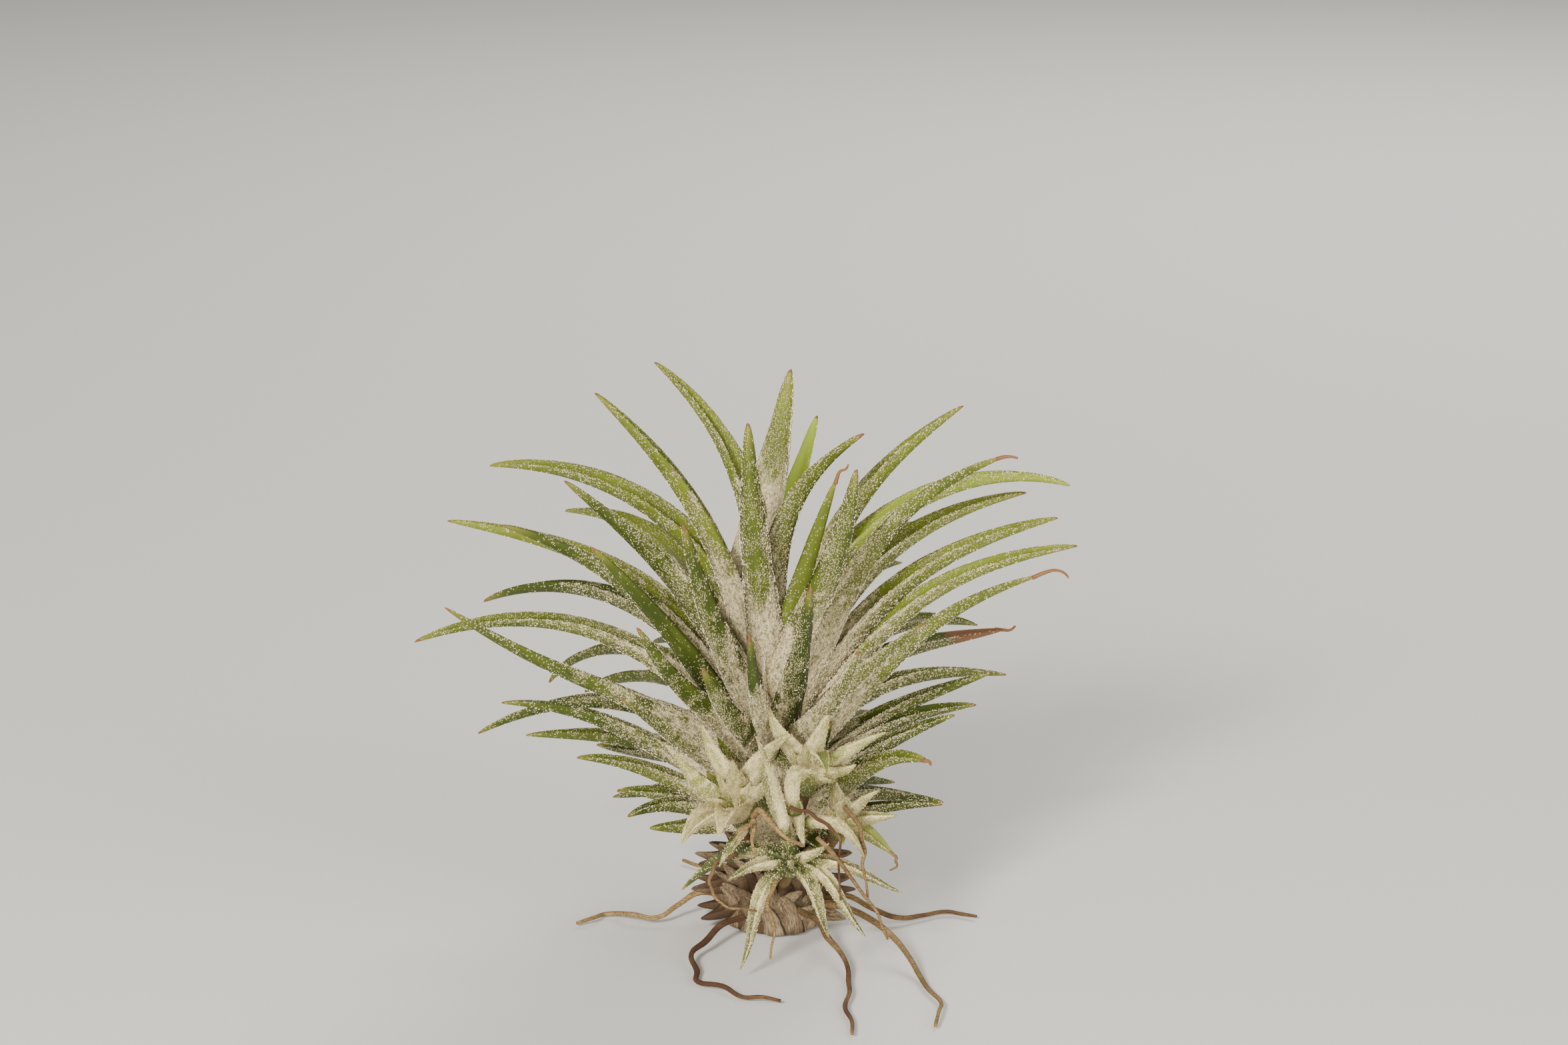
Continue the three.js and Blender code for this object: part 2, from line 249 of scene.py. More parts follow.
# First and last azimuth, count, reach, lift, rise, fall, height of the base and width.
EVEN_ROWS = {
    "back_high": (76, 107, 3, 45, 26, 68, -8, 25, 6.2),
    "back_middle": (68, 114, 4, 42, 11, 58, -20, 21, 6),
    "back_low": (52, 120, 5, 34, 3, 38, -18, 18, 5.2),
    "back_foot": (22, 152, 6, 24, -2, 16, -14, 15, 4.6),
    "clasp_low": (-170, -10, 7, 14, 46, 26, 66, 13.6, 6.4),
    "clasp_high": (-140, -40, 4, 15, 54, 34, 66, 18.5, 6.2),
    "clasp_foot": (-75, 5, 4, 8, -8, 4, -24, 13.8, 6),
}
# Where the leaves' bases stand: close about the axis, or wider for one that starts on another side.
BASE_RING_RADIUS = 1.5
WIDE_RING_RADIUS = 3
# How sharply a blade narrows to its tip, and how much it swells before that.
ROSETTE_FORM = (0.5, 0)


def ring_base(azimuth, radius, height):
    return heading(azimuth, 0) * radius + np.array([0, 0, height])


def new_leaf(name, base, tip, rise, fall, width, form=ROSETTE_FORM):
    return dict(name=name, base=base, tip=tip, rise=rise, fall=fall, width=width, form=form)


def rosette_leaves():
    """Every leaf of the rosette, tier by tier."""
    leaves = []
    for tier, (rows, height, width) in TIERS.items():
        for number, (across, up, away, rise, fall, *turned) in enumerate(rows):
            tip = seen(across, up, away)
            base = ring_base(azimuth_of(tip), BASE_RING_RADIUS, height)
            if turned:
                base = ring_base(turned[0], WIDE_RING_RADIUS, height)
            leaves.append(new_leaf(f"{tier}_{number}", base, tip, rise, fall, width))
    for tier, (first, last, count, reach, lift, rise, fall, height, width) in EVEN_ROWS.items():
        for number in range(count):
            azimuth = first + (last - first) * number / (count - 1)
            base = ring_base(azimuth, BASE_RING_RADIUS, height)
            tip = base + heading(azimuth, lift) * reach
            leaves.append(new_leaf(f"{tier}_{number}", base, tip, rise, fall, width))
    return leaves


rosette = rosette_leaves()
print("leaves in the rosette:", len(rosette))

# %% [markdown]
# ## Looks of single leaves
#
# Scales rub off or never grow in places, and there the dark green skin shows. Young leaves high up
# and at the back are a brighter yellow green, and the most lime of them is partly painted light
# shining through the leaf from behind. Most tips end in a small dry point, and some have dried for
# much more. Where a leaf plainly differs from its neighbours, it gets its own numbers here, and a
# seeded draw gives the rest of them small differences.

# %% Single leaves
# Bare, bright, dry and slim, in the order of each tier's table. Bare is the share of skin that lost
# its scales, bright how yellow the green is, and above 0.8 partly painted light shining through it,
# dry the share that has dried up, and slim, where it is given, a factor on the width.
LEAF_LOOKS = {
    "crown": [
        [0.3, 0.65, 0.006],
        [0.0, 0.6, 0.006, 1.32],
        [0.55, 0.3, 0.01, 0.9],
        # crown_3's brightness of 1.6 is mostly painted light shining through the leaf from behind.
        [0.5, 1.6, 0.006, 0.85],
        [0.4, 0.4, 0.014],
        [0.35, 0.55, 0.006],
        [0.15, 0.6, 0.008],
        [0.75, 0.45, 0.012, 0.75],
        [0.5, 0.25, 0.012],
    ],
    "upper": [
        [0.3, 0.4, 0.016],
        [0.4, 1.1, 0.004, 1.0],
        [0.5, 0.6, 0.004, 1.05],
        [0.45, 0.15, 0.008, 1.05],
        [0.5, 0.2, 0.018, 0.75],
        [0.5, 0.75, 0.008],
        [0.5, 0.2, 0.01],
        # upper_7 and upper_8, on the right, get a high brightness and little bare skin as painted
        # light, lighter where the lamps leave them in shade.
        [0.1, 0.8, 0.014],
        [0.1, 0.75, 0.01],
        [0.5, 0.8, 0.01],
    ],
    "middle": [
        [0.75, 0.15, 0.016, 0.8],
        [0.3, 0.45, 0.016, 0.85],
        [0.5, 0.2, 0.016, 0.8],
        [0.45, 0.15, 0.016, 0.9],
        [0.35, 0.15, 0.02, 0.85],
        [0.1, 0.1, 0.03, 0.55],
        [0.7, 0.0, 0.018, 0.85],
        [0.25, 0.15, 0.018, 0.8],
        # middle_8, on the right, gets a high brightness and little bare skin as painted light, lighter
        # where the lamps leave it in shade.
        [0.2, 0.8, 0.006],
        [0.45, 0.45, 0.02, 0.8],
        [0.25, 0.35, 0.018, 0.75],
    ],
}
# Felted is how far along the closed felt reaches, fade how fast the scales thin out beyond it, and
# bald the share along from which there are hardly any. Fresh adds to the brightness of the lower
# half's inner face, and midline is how bare that face is.
LEAF_NOTES = {
    "crown_1": dict(felted=0.66, fade=0.75),
    "crown_2": dict(fade=0.9),
    "crown_8": dict(fade=0.7),
    "upper_4": dict(fade=0.6),
    "upper_6": dict(fresh=1.3, midline=0.7),
    "middle_3": dict(fade=0.6),
    "middle_4": dict(bald=0.88, fade=0.45),
    "middle_5": dict(bald=0.74, fade=0.3),
    "middle_6": dict(fade=0.7),
    "middle_7": dict(fade=0.45),
    "middle_10": dict(fade=0.6),
    "middle_14": dict(bare=0.5, bright=0.3, dry=0.2),
    "lower_0": dict(bare=0.2, bright=0.3, dry=0.018),
    "lower_8": dict(bare=0.3, bright=0.15, dry=0.018, fade=0.6),
    "foot_0": dict(bare=0.2, bright=0.5, dry=0.025, slim=1.2),
    "foot_1": dict(bare=0.3, bright=0.1, dry=0.018, slim=0.7),
}
USUAL_SLIM = 0.95
FELTED = {"crown": 0.34, "upper": 0.27, "middle": 0.24, "clasp": 0.5}
USUAL_FELTED = 0.25
# What differs a little from leaf to leaf: twist in degrees, sway in mm, a factor on the thickness,
# and the looks above.
SMALL_DIFFERENCES = dict(
    twist=(-14, 14),
    sway=(-0.5, 0.5),
    thick=(0.9, 1.15),
    bright=(0.0, 0.45),
    bare=(0.1, 0.5),
    dry=(0.006, 0.016),
)
SEED = 14
draw = np.random.default_rng(SEED)


def vary(leaf, **ranges):
    """Draws a leaf's numbers from their ranges, then where its waver and its patterns start."""
    for key, (low, high) in ranges.items():
        leaf[key] = float(draw.uniform(low, high))
    leaf["waves"] = draw.uniform(0, 2 * np.pi, 2)
    leaf["seat"] = float(draw.uniform(0, 100))


for leaf in rosette:
    vary(leaf, **SMALL_DIFFERENCES)
    tier, number = leaf["name"].rsplit("_", 1)
    leaf["felted"] = FELTED.get(tier.split("_")[0], USUAL_FELTED)
    looks = LEAF_LOOKS.get(tier, [])
    if int(number) < len(looks):
        leaf.update(zip(("bare", "bright", "dry", "slim"), looks[int(number)]))
    leaf.update(LEAF_NOTES.get(leaf["name"], {}))
    leaf["width"] *= leaf.get("slim", USUAL_SLIM)
print("leaves with looks of their own:", sum(map(len, LEAF_LOOKS.values())))

# %% [markdown]
# ## One straight leaf
#
# All the leaves share one form: a blade with rounded edges that narrows evenly to a point. It is
# modelled once, straight and one unit long, from a flat ring of points that is extruded step by
# step and drawn in at each step. The steps are closer together near the tip, where the outline
# changes fastest. The last ring is merged to a point, so the blade is a closed skin.

# %% The straight blade
BLADE_SIDES = 16
BLADE_STEPS = 44


def station(step, steps):
    """How far along the blade a step lies, from 0 to 1."""
    return 1 - (1 - step / steps) ** 1.4


def outline(along, form):
    """The blade's half width at shares along it, as a share of its half width at the base."""
    taper, swell = form
    half = (1 + swell * np.sin(np.pi * along)) * np.clip(1 - along, 0, 1) ** taper
    return np.maximum(half, 1e-6)


def start_disc(sides, radius, **place):
    """A flat disc in edit mode, ready to be extruded."""
    deselect_all()
    bpy.ops.mesh.primitive_circle_add(vertices=sides, radius=radius, fill_type="NGON", **place)
    bpy.ops.object.transform_apply()
    bpy.ops.object.mode_set(mode="EDIT")
    bpy.ops.mesh.select_all(action="SELECT")


def extrude(move):
    bpy.ops.mesh.extrude_region_move(TRANSFORM_OT_translate={"value": move})


def finished(name):
    """Turns the faces outwards and leaves edit mode, with a smooth, named piece."""
    bpy.ops.mesh.select_all(action="SELECT")
    bpy.ops.mesh.normals_make_consistent(inside=False)
    bpy.ops.object.mode_set(mode="OBJECT")
    bpy.ops.object.shade_smooth()
    bpy.context.object.name = name
    return bpy.context.object


def straight_blade(name, form, steps=BLADE_STEPS):
    """A unit blade along +X, one unit long and two wide at its base, closed at both ends."""
    start_disc(BLADE_SIDES, 1, rotation=(0, math.pi / 2, 0))
    size = 1
    for step in range(1, steps):
        along = station(step, steps)
        wanted = float(outline(along, form))
        extrude((along - station(step - 1, steps), 0, 0))
        bpy.ops.transform.resize(value=(1, wanted / size, wanted / size))
        size = wanted
    extrude((1 - station(steps - 1, steps), 0, 0))
    bpy.ops.mesh.merge(type="CENTER")
    return finished(name)


rosette_blade = straight_blade("rosette_blade", ROSETTE_FORM)
print("faces in the straight blade:", len(rosette_blade.data.polygons))

# %% [markdown]
# ## Bending a blade along its line
#
# A leaf of this plant is a gutter: its edges stand up, and its middle is hollow above and keeled
# below. Each point of the straight blade moves to its share of the leaf's line, goes out sideways by
# its width, and is raised the more the nearer it is to an edge. A slight twist, sway and waver keep
# neighbours from looking stamped. The same function later places the scales exactly on the skin.

# %% Bending a blade
LEAF_THICKNESS = 1.0
# How much of that lies above the middle, and how much below it.
FACE_THICKNESS = (0.5, 0.65)
CHANNEL_DEPTH = 0.8
CHANNEL_ROUNDNESS = 2.1
KEEL_SHARE = 0.16
SHEATH_FLARE = 0.12
FLARE_LENGTH = 0.12
# The size of the edges' waver, and how fast its two waves run along the leaf.
WAVER = 0.035
WAVER_PITCHES = (15, 34)


def bend(leaf, along, across, raised):
    """Moves points of the straight blade, given by three arrays, onto a leaf. The result is in mm."""
    points, side = leaf_line(leaf)
    place, run = on_line(points, along)
    up = unit(np.cross(run, side))
    half = leaf["width"] / 2
    size = outline(along, leaf["form"])
    share = np.clip(np.abs(across) / size, 0, 1)
    flare = 1 + SHEATH_FLARE * np.exp(-along / FLARE_LENGTH)
    slow, fast = [np.sin(along * pitch + start) for pitch, start in zip(WAVER_PITCHES, leaf["waves"])]
    waver = 1 + WAVER * slow + WAVER * 0.6 * fast
    cup = half * size * CHANNEL_DEPTH * share**CHANNEL_ROUNDNESS
    thick = np.where(raised > 0, *FACE_THICKNESS) * LEAF_THICKNESS * leaf["thick"]
    keel = np.where(raised < 0, half * KEEL_SHARE, 0)
    sideways = across * half * flare * waver
    upward = cup + raised * (thick + keel)
    # A point of the base ring may lie a hair behind 0, where the power has no value.
    twist = math.radians(leaf["twist"]) * np.maximum(along, 0) ** 1.5
    turned = sideways * np.cos(twist) - upward * np.sin(twist)
    lifted = sideways * np.sin(twist) + upward * np.cos(twist)
    sway = leaf["sway"] * np.sin(np.pi * along)
    return place + side * (turned + sway)[:, None] + up * lifted[:, None]


print("widest leaf in mm:", round(max(leaf["width"] for leaf in rosette), 1))

# %% [markdown]
# ## Where the scales are
#
# One function says how well the scales cover a leaf at any point, for the finish and for the real
# scales alike. The foot of a leaf is a closed felt and its tip is nearly green. The edges are
# silvered more than the middle, and the inner face less than the outer one. The bare patches are
# streaks, so they come from a random pattern that is stretched along the leaf's own skin.

# %% Cover
def patchy(x, y):
    """Smooth random values from 0 to 1 over a plane, in cells one unit wide."""
    column, row = np.floor(x), np.floor(y)

    def corner(right, up):
        value = np.sin((column + right) * 12.9898 + (row + up) * 78.233) * 43758.5453
        return value - np.floor(value)

    across = (x - column) ** 2 * (3 - 2 * (x - column))
    upward = (y - row) ** 2 * (3 - 2 * (y - row))
    low = corner(0, 0) * (1 - across) + corner(1, 0) * across
    high = corner(0, 1) * (1 - across) + corner(1, 1) * across
    return low * (1 - upward) + high * upward


def cover(leaf, along, share, inner):
    """How closely the scales stand, from 0 to 1, by share along, share across and inner face."""
    x = along * reach_of(leaf) + leaf["seat"]
    y = share * leaf["width"] / 2 * (1 - 0.6 * along) + 3 * inner
    start = leaf.get("felted", 0.2)
    fading = np.clip((along - start) / (0.92 - start), 0, 1) ** 0.75
    fading = fading * leaf.get("fade", 1)
    closeness = 1.0 - 0.82 * fading - 0.06 * inner * fading + 0.5 * fading * np.abs(share) ** 5
    closeness = closeness * np.clip(along / leaf.get("green_heart", 0.001), 0.2, 1)
    closeness = closeness - leaf.get("midline", 0) * (1 - np.abs(share)) * inner
    blotches = 0.5 * patchy(x * 0.08, y * 0.8) + 0.3 * patchy(x * 0.45, y * 1.7)
    blotches = blotches + 0.2 * patchy(x * 1.6 + 31, y * 4)
    rubbed = np.clip((blotches - 0.8 + 0.5 * leaf["bare"]) * 7 + 0.5, 0, 1)
    rubbed = rubbed * np.clip((along - start * 0.8) / 0.2, 0, 1)
    ragged = (patchy(y * 2.5, x * 0.4) - 0.5) * 0.09
    bald = np.clip((along - leaf.get("bald", 2) + ragged) / 0.02 + 0.5, 0, 1)
    return np.clip(closeness * (1 - 0.93 * np.maximum(rubbed, bald)), 0.03, 1)


def dryness(leaf, along):
    """0 on live skin and 1 on the dry tip."""
    start = 1 - leaf["dry"]
    return np.clip((along - start) / (0.3 * leaf["dry"]) + 0.5, 0, 1)


probe = np.linspace(0, 1, 5)
print("cover along a leaf:", np.round(cover(rosette[0], probe, 0 * probe, 0 * probe), 2))

# %% [markdown]
# ## Growing the rosette
#
# Each leaf is a copy of the straight blade with its own mesh, bent onto its line. With every point
# go a few numbers for the finish to read: how far along the leaf it is, its cover, its dryness, its
# brightness, and its place on the skin in mm, which a pattern can follow round every bend.

# %% Copies of the blade
def points_of(mesh):
    """A mesh's points as an array."""
    flat = np.empty(len(mesh.vertices) * 3)
    mesh.vertices.foreach_get("co", flat)
    return flat.reshape(-1, 3)


def set_points(mesh, points):
    mesh.vertices.foreach_set("co", np.ascontiguousarray(points, np.float32).ravel())
    mesh.update()


def note(mesh, **layers):
    """Stores a number, or a place, for each point of a mesh, for its material to read."""
    for name, values in layers.items():
        values = np.asarray(values, np.float32)
        kind, field = ("FLOAT_VECTOR", "vector") if values.ndim == 2 else ("FLOAT", "value")
        if values.ndim == 0:
            values = np.full(len(mesh.vertices), values)
        mesh.attributes.new(name, kind, "POINT").data.foreach_set(field, values.ravel())


def note_plain(piece, **layers):
    """The same for a piece whose place on the skin is simply its place in mm."""
    note(piece.data, **layers, skin=points_of(piece.data) / MM)


def grow(blade, leaf):
    """A copy of the straight blade, bent onto a leaf's line."""
    copy = blade.copy()
    copy.data = blade.data.copy()
    copy.name = leaf["name"]
    bpy.context.scene.collection.objects.link(copy)
    along, across, raised = points_of(copy.data).T
    set_points(copy.data, bend(leaf, along, across, raised) * MM)
    size = outline(along, leaf["form"])
    share = np.clip(across / size, -1, 1)
    inner = np.clip(raised / size, 0, 1)
    closeness = cover(leaf, along, share, inner)
    bright = leaf["bright"] + leaf.get("fresh", 0) * inner * np.clip((0.8 - along) / 0.15, 0, 1)
    note(copy.data, along=along, cover=closeness, dry=dryness(leaf, along), bright=bright)
    half = leaf["width"] / 2
    skin_along = along * reach_of(leaf) + leaf["seat"]
    note(copy.data, skin=np.stack([skin_along, across * half, raised * half], axis=1))
    return copy


def joined(pieces, name):
    """Joins pieces into one, with its name and its object at the origin."""
    pick(*pieces)
    bpy.ops.object.join()
    piece = bpy.context.object
    piece.name = name
    piece.data.name = name
    return piece


leaf_copies = [grow(rosette_blade, leaf) for leaf in rosette]
print("points in one leaf:", len(leaf_copies[0].data.vertices))

# %% [markdown]
# The heart is the short core that the sheaths grow from. It starts as a flat disc, and is extruded
# upwards and drawn in and out like a turned post. It is hardly seen, but it closes the gaps
# between the sheaths.

# %% The heart
HEART_PROFILE = [(4.6, 12.3), (5.8, 16), (6.2, 21), (5.2, 27), (3.2, 33), (0.6, 40)]


def turned_post(name, profile, sides):
    """A closed post about Z, from pairs of radius and height in mm."""
    radius, height = profile[0]
    start_disc(sides, radius * MM, location=(0, 0, height * MM))
    for (before, low), (after, high) in zip(profile, profile[1:]):
        extrude((0, 0, (high - low) * MM))
        bpy.ops.transform.resize(value=(after / before, after / before, 1))
    return finished(name)


heart = turned_post("heart", HEART_PROFILE, 32)
note_plain(heart, along=0.05, cover=1, dry=0, bright=0.5)
print("heart height in mm:", HEART_PROFILE[-1][1] - HEART_PROFILE[0][1])

# %% [markdown]
# A few tips have dried to a thin brown curl. Each curl is a tube along a short path that carries on
# from its leaf's tip. A tube is a curve with a round bevel whose radius changes from point to
# point, turned into a mesh. Roots and runners are made the same way.

# %% Tubes and dry curls
SEAM_GAP = 0.001


def tube(name, places, radii, roundness=2, smoothness=5):
    """A closed tube through places in mm, with a radius in mm at each of them."""
    deselect_all()
    bpy.ops.curve.primitive_nurbs_path_add()
    curve = bpy.context.object.data
    curve.splines.clear()
    spline = curve.splines.new("BEZIER")
    spline.bezier_points.add(len(places) - 1)
    for point, place, radius in zip(spline.bezier_points, places, radii):
        point.co = np.array(place) * MM
        point.radius = radius
        point.handle_left_type = "AUTO"
        point.handle_right_type = "AUTO"
    curve.dimensions = "3D"
    curve.resolution_u = smoothness
    curve.bevel_depth = MM
    curve.bevel_resolution = roundness
    curve.use_fill_caps = True
    bpy.ops.object.convert(target="MESH")
    bpy.ops.object.transform_apply()
    bpy.ops.object.mode_set(mode="EDIT")
    # The caps are loose discs, so they are merged with the tube before its faces are turned.
    bpy.ops.mesh.select_all(action="SELECT")
    bpy.ops.mesh.remove_doubles(threshold=SEAM_GAP * MM)
    return finished(name)


# Each curl's leaf, and its points beyond that leaf's tip, as across, away and up from it in mm.
CURLS = {
    "upper_0": [(-0.9, 0, -0.25), (0, 0, 0), (1.0, -0.2, 0.1), (1.9, -0.2, -0.1)],
    "crown_7": [(-0.2, 0, -0.8), (0, 0, 0), (0.4, 0, 0.9), (1.2, -0.2, 1.3), (1.5, -0.2, 1.9)],
    "middle_9": [(-0.9, 0, -0.3), (0.8, -0.2, 0.5), (2.2, -0.2, 0.8), (3.4, 0, 0.3), (3.9, 0, -0.3)],
    "middle_14": [(-1.2, 0, 0.1), (0, 0, 0), (1.0, 0.3, -0.1), (1.7, 0.2, 0.5)],
    "foot_0": [(-0.5, 0, 0.1), (0.1, 0, 0.1), (0.4, 0, -0.1), (0.5, 0, -0.5)],
}
CURL_RADII = [0.3, 0.26, 0.2, 0.16, 0.12]
named_leaves = {leaf["name"]: leaf for leaf in rosette}
curls = []
for name, steps in CURLS.items():
    places = [named_leaves[name]["tip"] + np.array(step) for step in steps]
    curl = tube(f"curl_{name}", places, CURL_RADII)
    note_plain(curl, along=1, cover=0.03, dry=1, bright=0.5)
    curls.append(curl)
rosette_piece = joined([*leaf_copies, heart, *curls], "rosette_leaves")


def triangles(piece):
    return sum(len(face.vertices) - 2 for face in piece.data.polygons)


print("triangles in the rosette:", triangles(rosette_piece))

# %% [markdown]
# ## The offsets
#
# An offset is a young plant on a short runner. Its leaves are lance shaped, widest below the
# middle, pale, and so densely scaled that they look like felt. The blade for them swells before it
# narrows. A small ball hides where the leaves meet. A few slack leaves hang over the front ones.

# %% The offsets' tables
OFFSET_FORM = (0.55, 0.35)
OFFSET_WIDTH = 2.7
# Centre as read from the front and foot on the stem, in mm, and a factor on the leaves' width.
OFFSETS = {
    "offset_left": ((-4.5, 14.7, -14), (-2.4, -4, 9.6), 1.22),
    "offset_right": ((4.5, 19.2, -15.5), (1.6, -4, 10.4), 1.08),
    "offset_front": ((2.3, 7.9, -20), (1.0, -4, 6.4), 0.74),
    "offset_side": ((9.0, 13.0, -12), (4.2, -2, 8), 0.88),
}
# Their leaves, as in the rosette. A sixth number is one more factor on the width.
OFFSET_ROWS = {
    "offset_left": [
        [-9.9, 27.7, -18, 70, 74],
        [-13.6, 23.4, -17, 34, 58, 1.35],
        [2.7, 26.1, -22, 66, 34],
        [-12.5, 10.9, -25, 10, -36, 1.25],
        [-7.4, 11.8, -28, 14, -36, 1.15],
        [-5.6, 22.6, -21, 64, 74],
        [-0.6, 20.4, -24, 60, 66],
    ],
    "offset_right": [
        [-0.7, 30.2, -19, 76, 84, 1.1],
        [7.9, 29.6, -20, 66, 66],
        [15.5, 26.4, -18, 40, 28],
        [7.4, 20.6, -25, 60, -50],
        [4.4, 24.6, -22, 66, 80],
        [11.4, 22.0, -19, 50, 50],
    ],
    "offset_front": [
        [-4.6, -6.8, -24, -20, -56],
        [7.7, -2.3, -26, -6, -50],
        [12.8, -2.1, -24, 10, -38],
        [17.8, 4.0, -21, 14, -20],
        [7.7, 11.0, -25, 38, 44, 0.8],
        [-6.2, 5.8, -25, 16, -20],
        [-12.6, 4.4, -17, 30, -46, 1.45],
        [-1.5, 22.0, -25, 84, 84],
        [2.6, 8.8, -24.5, 30, 50, 0.5],
    ],
    "offset_side": [
        [16.7, 9.3, -16, 10, -24],
        [17.0, 14.8, -13, 24, 10],
        [10.2, 17.5, -21, 50, 44],
        [12.6, 8.6, -22, 14, -36],
        [8.6, 19.6, -17, 70, 70],
        [14.6, 18.4, -14, 50, 34],
    ],
}
# Short young leaves that fill the middle of each head, in the same terms.
HEART_LEAVES = {
    "offset_left": [[-7.8, 20.8, -19, 50, 60], [-3.0, 19.6, -22, 60, 50], [-9.6, 17.2, -20, 30, 20]],
    "offset_right": [[2.4, 24.4, -20, 70, 84], [6.2, 24.2, -20, 60, 60], [8.6, 19.6, -22, 30, 10]],
    "offset_front": [
        [1.2, 9.6, -23, 50, 40],
        [3.6, 9.2, -23.5, 30, 30],
        [1.2, 7.2, -23.5, 0, -20],
        [3.6, 6.8, -23.5, 0, -30],
    ],
    "offset_side": [[7.4, 16.2, -17, 60, 70], [12.6, 14.6, -18, 30, 30], [9.6, 10.8, -19, 10, -10]],
}
HEART_LEAF_SLIM = 0.7
# Leaves of the offsets that plainly differ, in the same terms as in the rosette.
OFFSET_NOTES = {
    "offset_front_6": dict(bare=0.4, bright=0.5, dry=0.04, fade=1.0),
    "offset_front_3": dict(bare=0.4, bright=0.3, dry=0.02, fade=0.6),
    "offset_left_3": dict(bare=0.1, bright=0.7, dry=0.01, fade=0.15, midline=0.12),
    "offset_left_4": dict(bare=0.0, bright=0.6, dry=0.01, fade=0.1, midline=0.05),
    "offset_side_0": dict(bare=0.6, bright=0.9, dry=0.06, fade=1),
    "offset_right_2": dict(bare=0.2, bright=0.9, dry=0.01, fade=0.5),
}
# Leaves that hang over the front offsets, as four points read from the front and a width in mm.
STRAPS = {
    "long": ([(1.8, 11.8, -24.5), (1.2, 16.6, -27.5), (-0.6, 21.6, -28), (-2.4, 26.0, -27)], 1.4),
    "folded": ([(2.5, 15.4, -23), (1.4, 20.8, -26), (3.2, 22.2, -27.5), (7.2, 20.4, -26)], 2.2),
    "slack": ([(4.6, 14.0, -20), (8.0, 14.9, -24.5), (11.0, 12.8, -25.5), (12.6, 8.8, -25)], 1.7),
    "low": ([(-3.6, 13.4, -20), (-5.0, 12.0, -24), (-6.6, 9.6, -25), (-7.4, 7.6, -24.5)], 1.3),
    "short": ([(3.0, 17.2, -19), (3.3, 15.2, -22), (3.7, 12.8, -23.4), (4.3, 10.4, -23.6)], 1.6),
}
offset_blade = straight_blade("offset_blade", OFFSET_FORM, 24)
print("leaves on the offsets:", sum(map(len, OFFSET_ROWS.values())))

# %% Growing the offsets
OFFSET_HEART_RADIUS = 1.6


def offset_heart(middle):
    """A ball, a little taller than wide, where an offset's leaves meet."""
    deselect_all()
    bpy.ops.mesh.primitive_uv_sphere_add(
        segments=16, ring_count=10, radius=OFFSET_HEART_RADIUS * MM, location=middle * MM
    )
    bpy.ops.transform.resize(value=(0.9, 0.9, 1.1))
    bpy.ops.object.transform_apply()
    bpy.ops.object.shade_smooth()
    ball = bpy.context.object
    upright = points_of(ball.data)[:, [2, 0, 1]] / MM
    note(ball.data, along=0.4, cover=0.35, dry=0, bright=0.3, skin=upright)
    return ball


def offset_leaf(name, middle, row, slim):
    """One leaf of an offset, from its row in the tables."""
    across, up, away, rise, fall, *broad = row
    slim = slim * broad[0] if broad else slim
    leaf = new_leaf(name, middle, seen(across, up, away), rise, fall, OFFSET_WIDTH * slim, OFFSET_FORM)
    vary(leaf, twist=(-12, 12), thick=(0.8, 1.0), bright=(0.1, 0.7), bare=(0.0, 0.35))
    leaf.update(sway=0, dry=0.015, fade=0.35, green_heart=0.14, midline=0.3)
    leaf.update(OFFSET_NOTES.get(name, {}))
    return leaf


def strap(name, readings, width):
    """A leaf that follows four control points, and whose hollow face is turned to the front."""
    line = np.array([seen(*reading) for reading in readings])
    leaf = offset_leaf(name, line[0], [*readings[-1], 0, 0], width / OFFSET_WIDTH)
    leaf["line"] = line
    side = np.cross(line[-1] - line[0], [0, -1, 0.3])
    leaf["side"] = side / np.linalg.norm(side)
    return leaf


def offset_piece(name):
    """One offset, and its leaves for the scales to be laid on later."""
    centre, _, slim = OFFSETS[name]
    middle = seen(*centre)
    rows = OFFSET_ROWS[name]
    leaves = [offset_leaf(f"{name}_{n}", middle, row, slim) for n, row in enumerate(rows)]
    for number, row in enumerate(HEART_LEAVES[name]):
        leaves.append(offset_leaf(f"{name}_heart_{number}", middle, row, HEART_LEAF_SLIM))
        leaves[-1].update(green_heart=0.7, bright=0.6)
    if name == "offset_front":
        for leaf in leaves[: len(rows)]:
            leaf.update(green_heart=0.32, midline=0.08, bright=0.15, fade=max(leaf["fade"], 0.52))
        for leaf in leaves[len(rows) :]:
            leaf.update(green_heart=1.4, bright=0.1)
        leaves += [strap(f"strap_{key}", *numbers) for key, numbers in STRAPS.items()]
    blades = [grow(offset_blade, leaf) for leaf in leaves]
    return joined([*blades, offset_heart(middle)], f"{name}_plant"), leaves


offset_pieces = {}
offset_leaves = []
for name in OFFSETS:
    offset_pieces[name], leaves = offset_piece(name)
    offset_leaves += leaves
print("offsets:", {name: triangles(piece) for name, piece in offset_pieces.items()})

# %% [markdown]
# ## Silver scales
#
# The scales are what makes this plant silver. Each is a tiny shield, a third of a millimetre long
# and far narrower, and there are more than a hundred thousand of them. They are real geometry here,
# because they roughen the outline of every leaf against the light. Where they thin out they stand
# in small clumps, with bare skin between them. One shield is modelled with just four faces: a squat
# three-sided spike whose point leans towards the leaf's tip. It is then copied by array maths, with
# its own size, tilt and tone, because an operator for each would take hours.

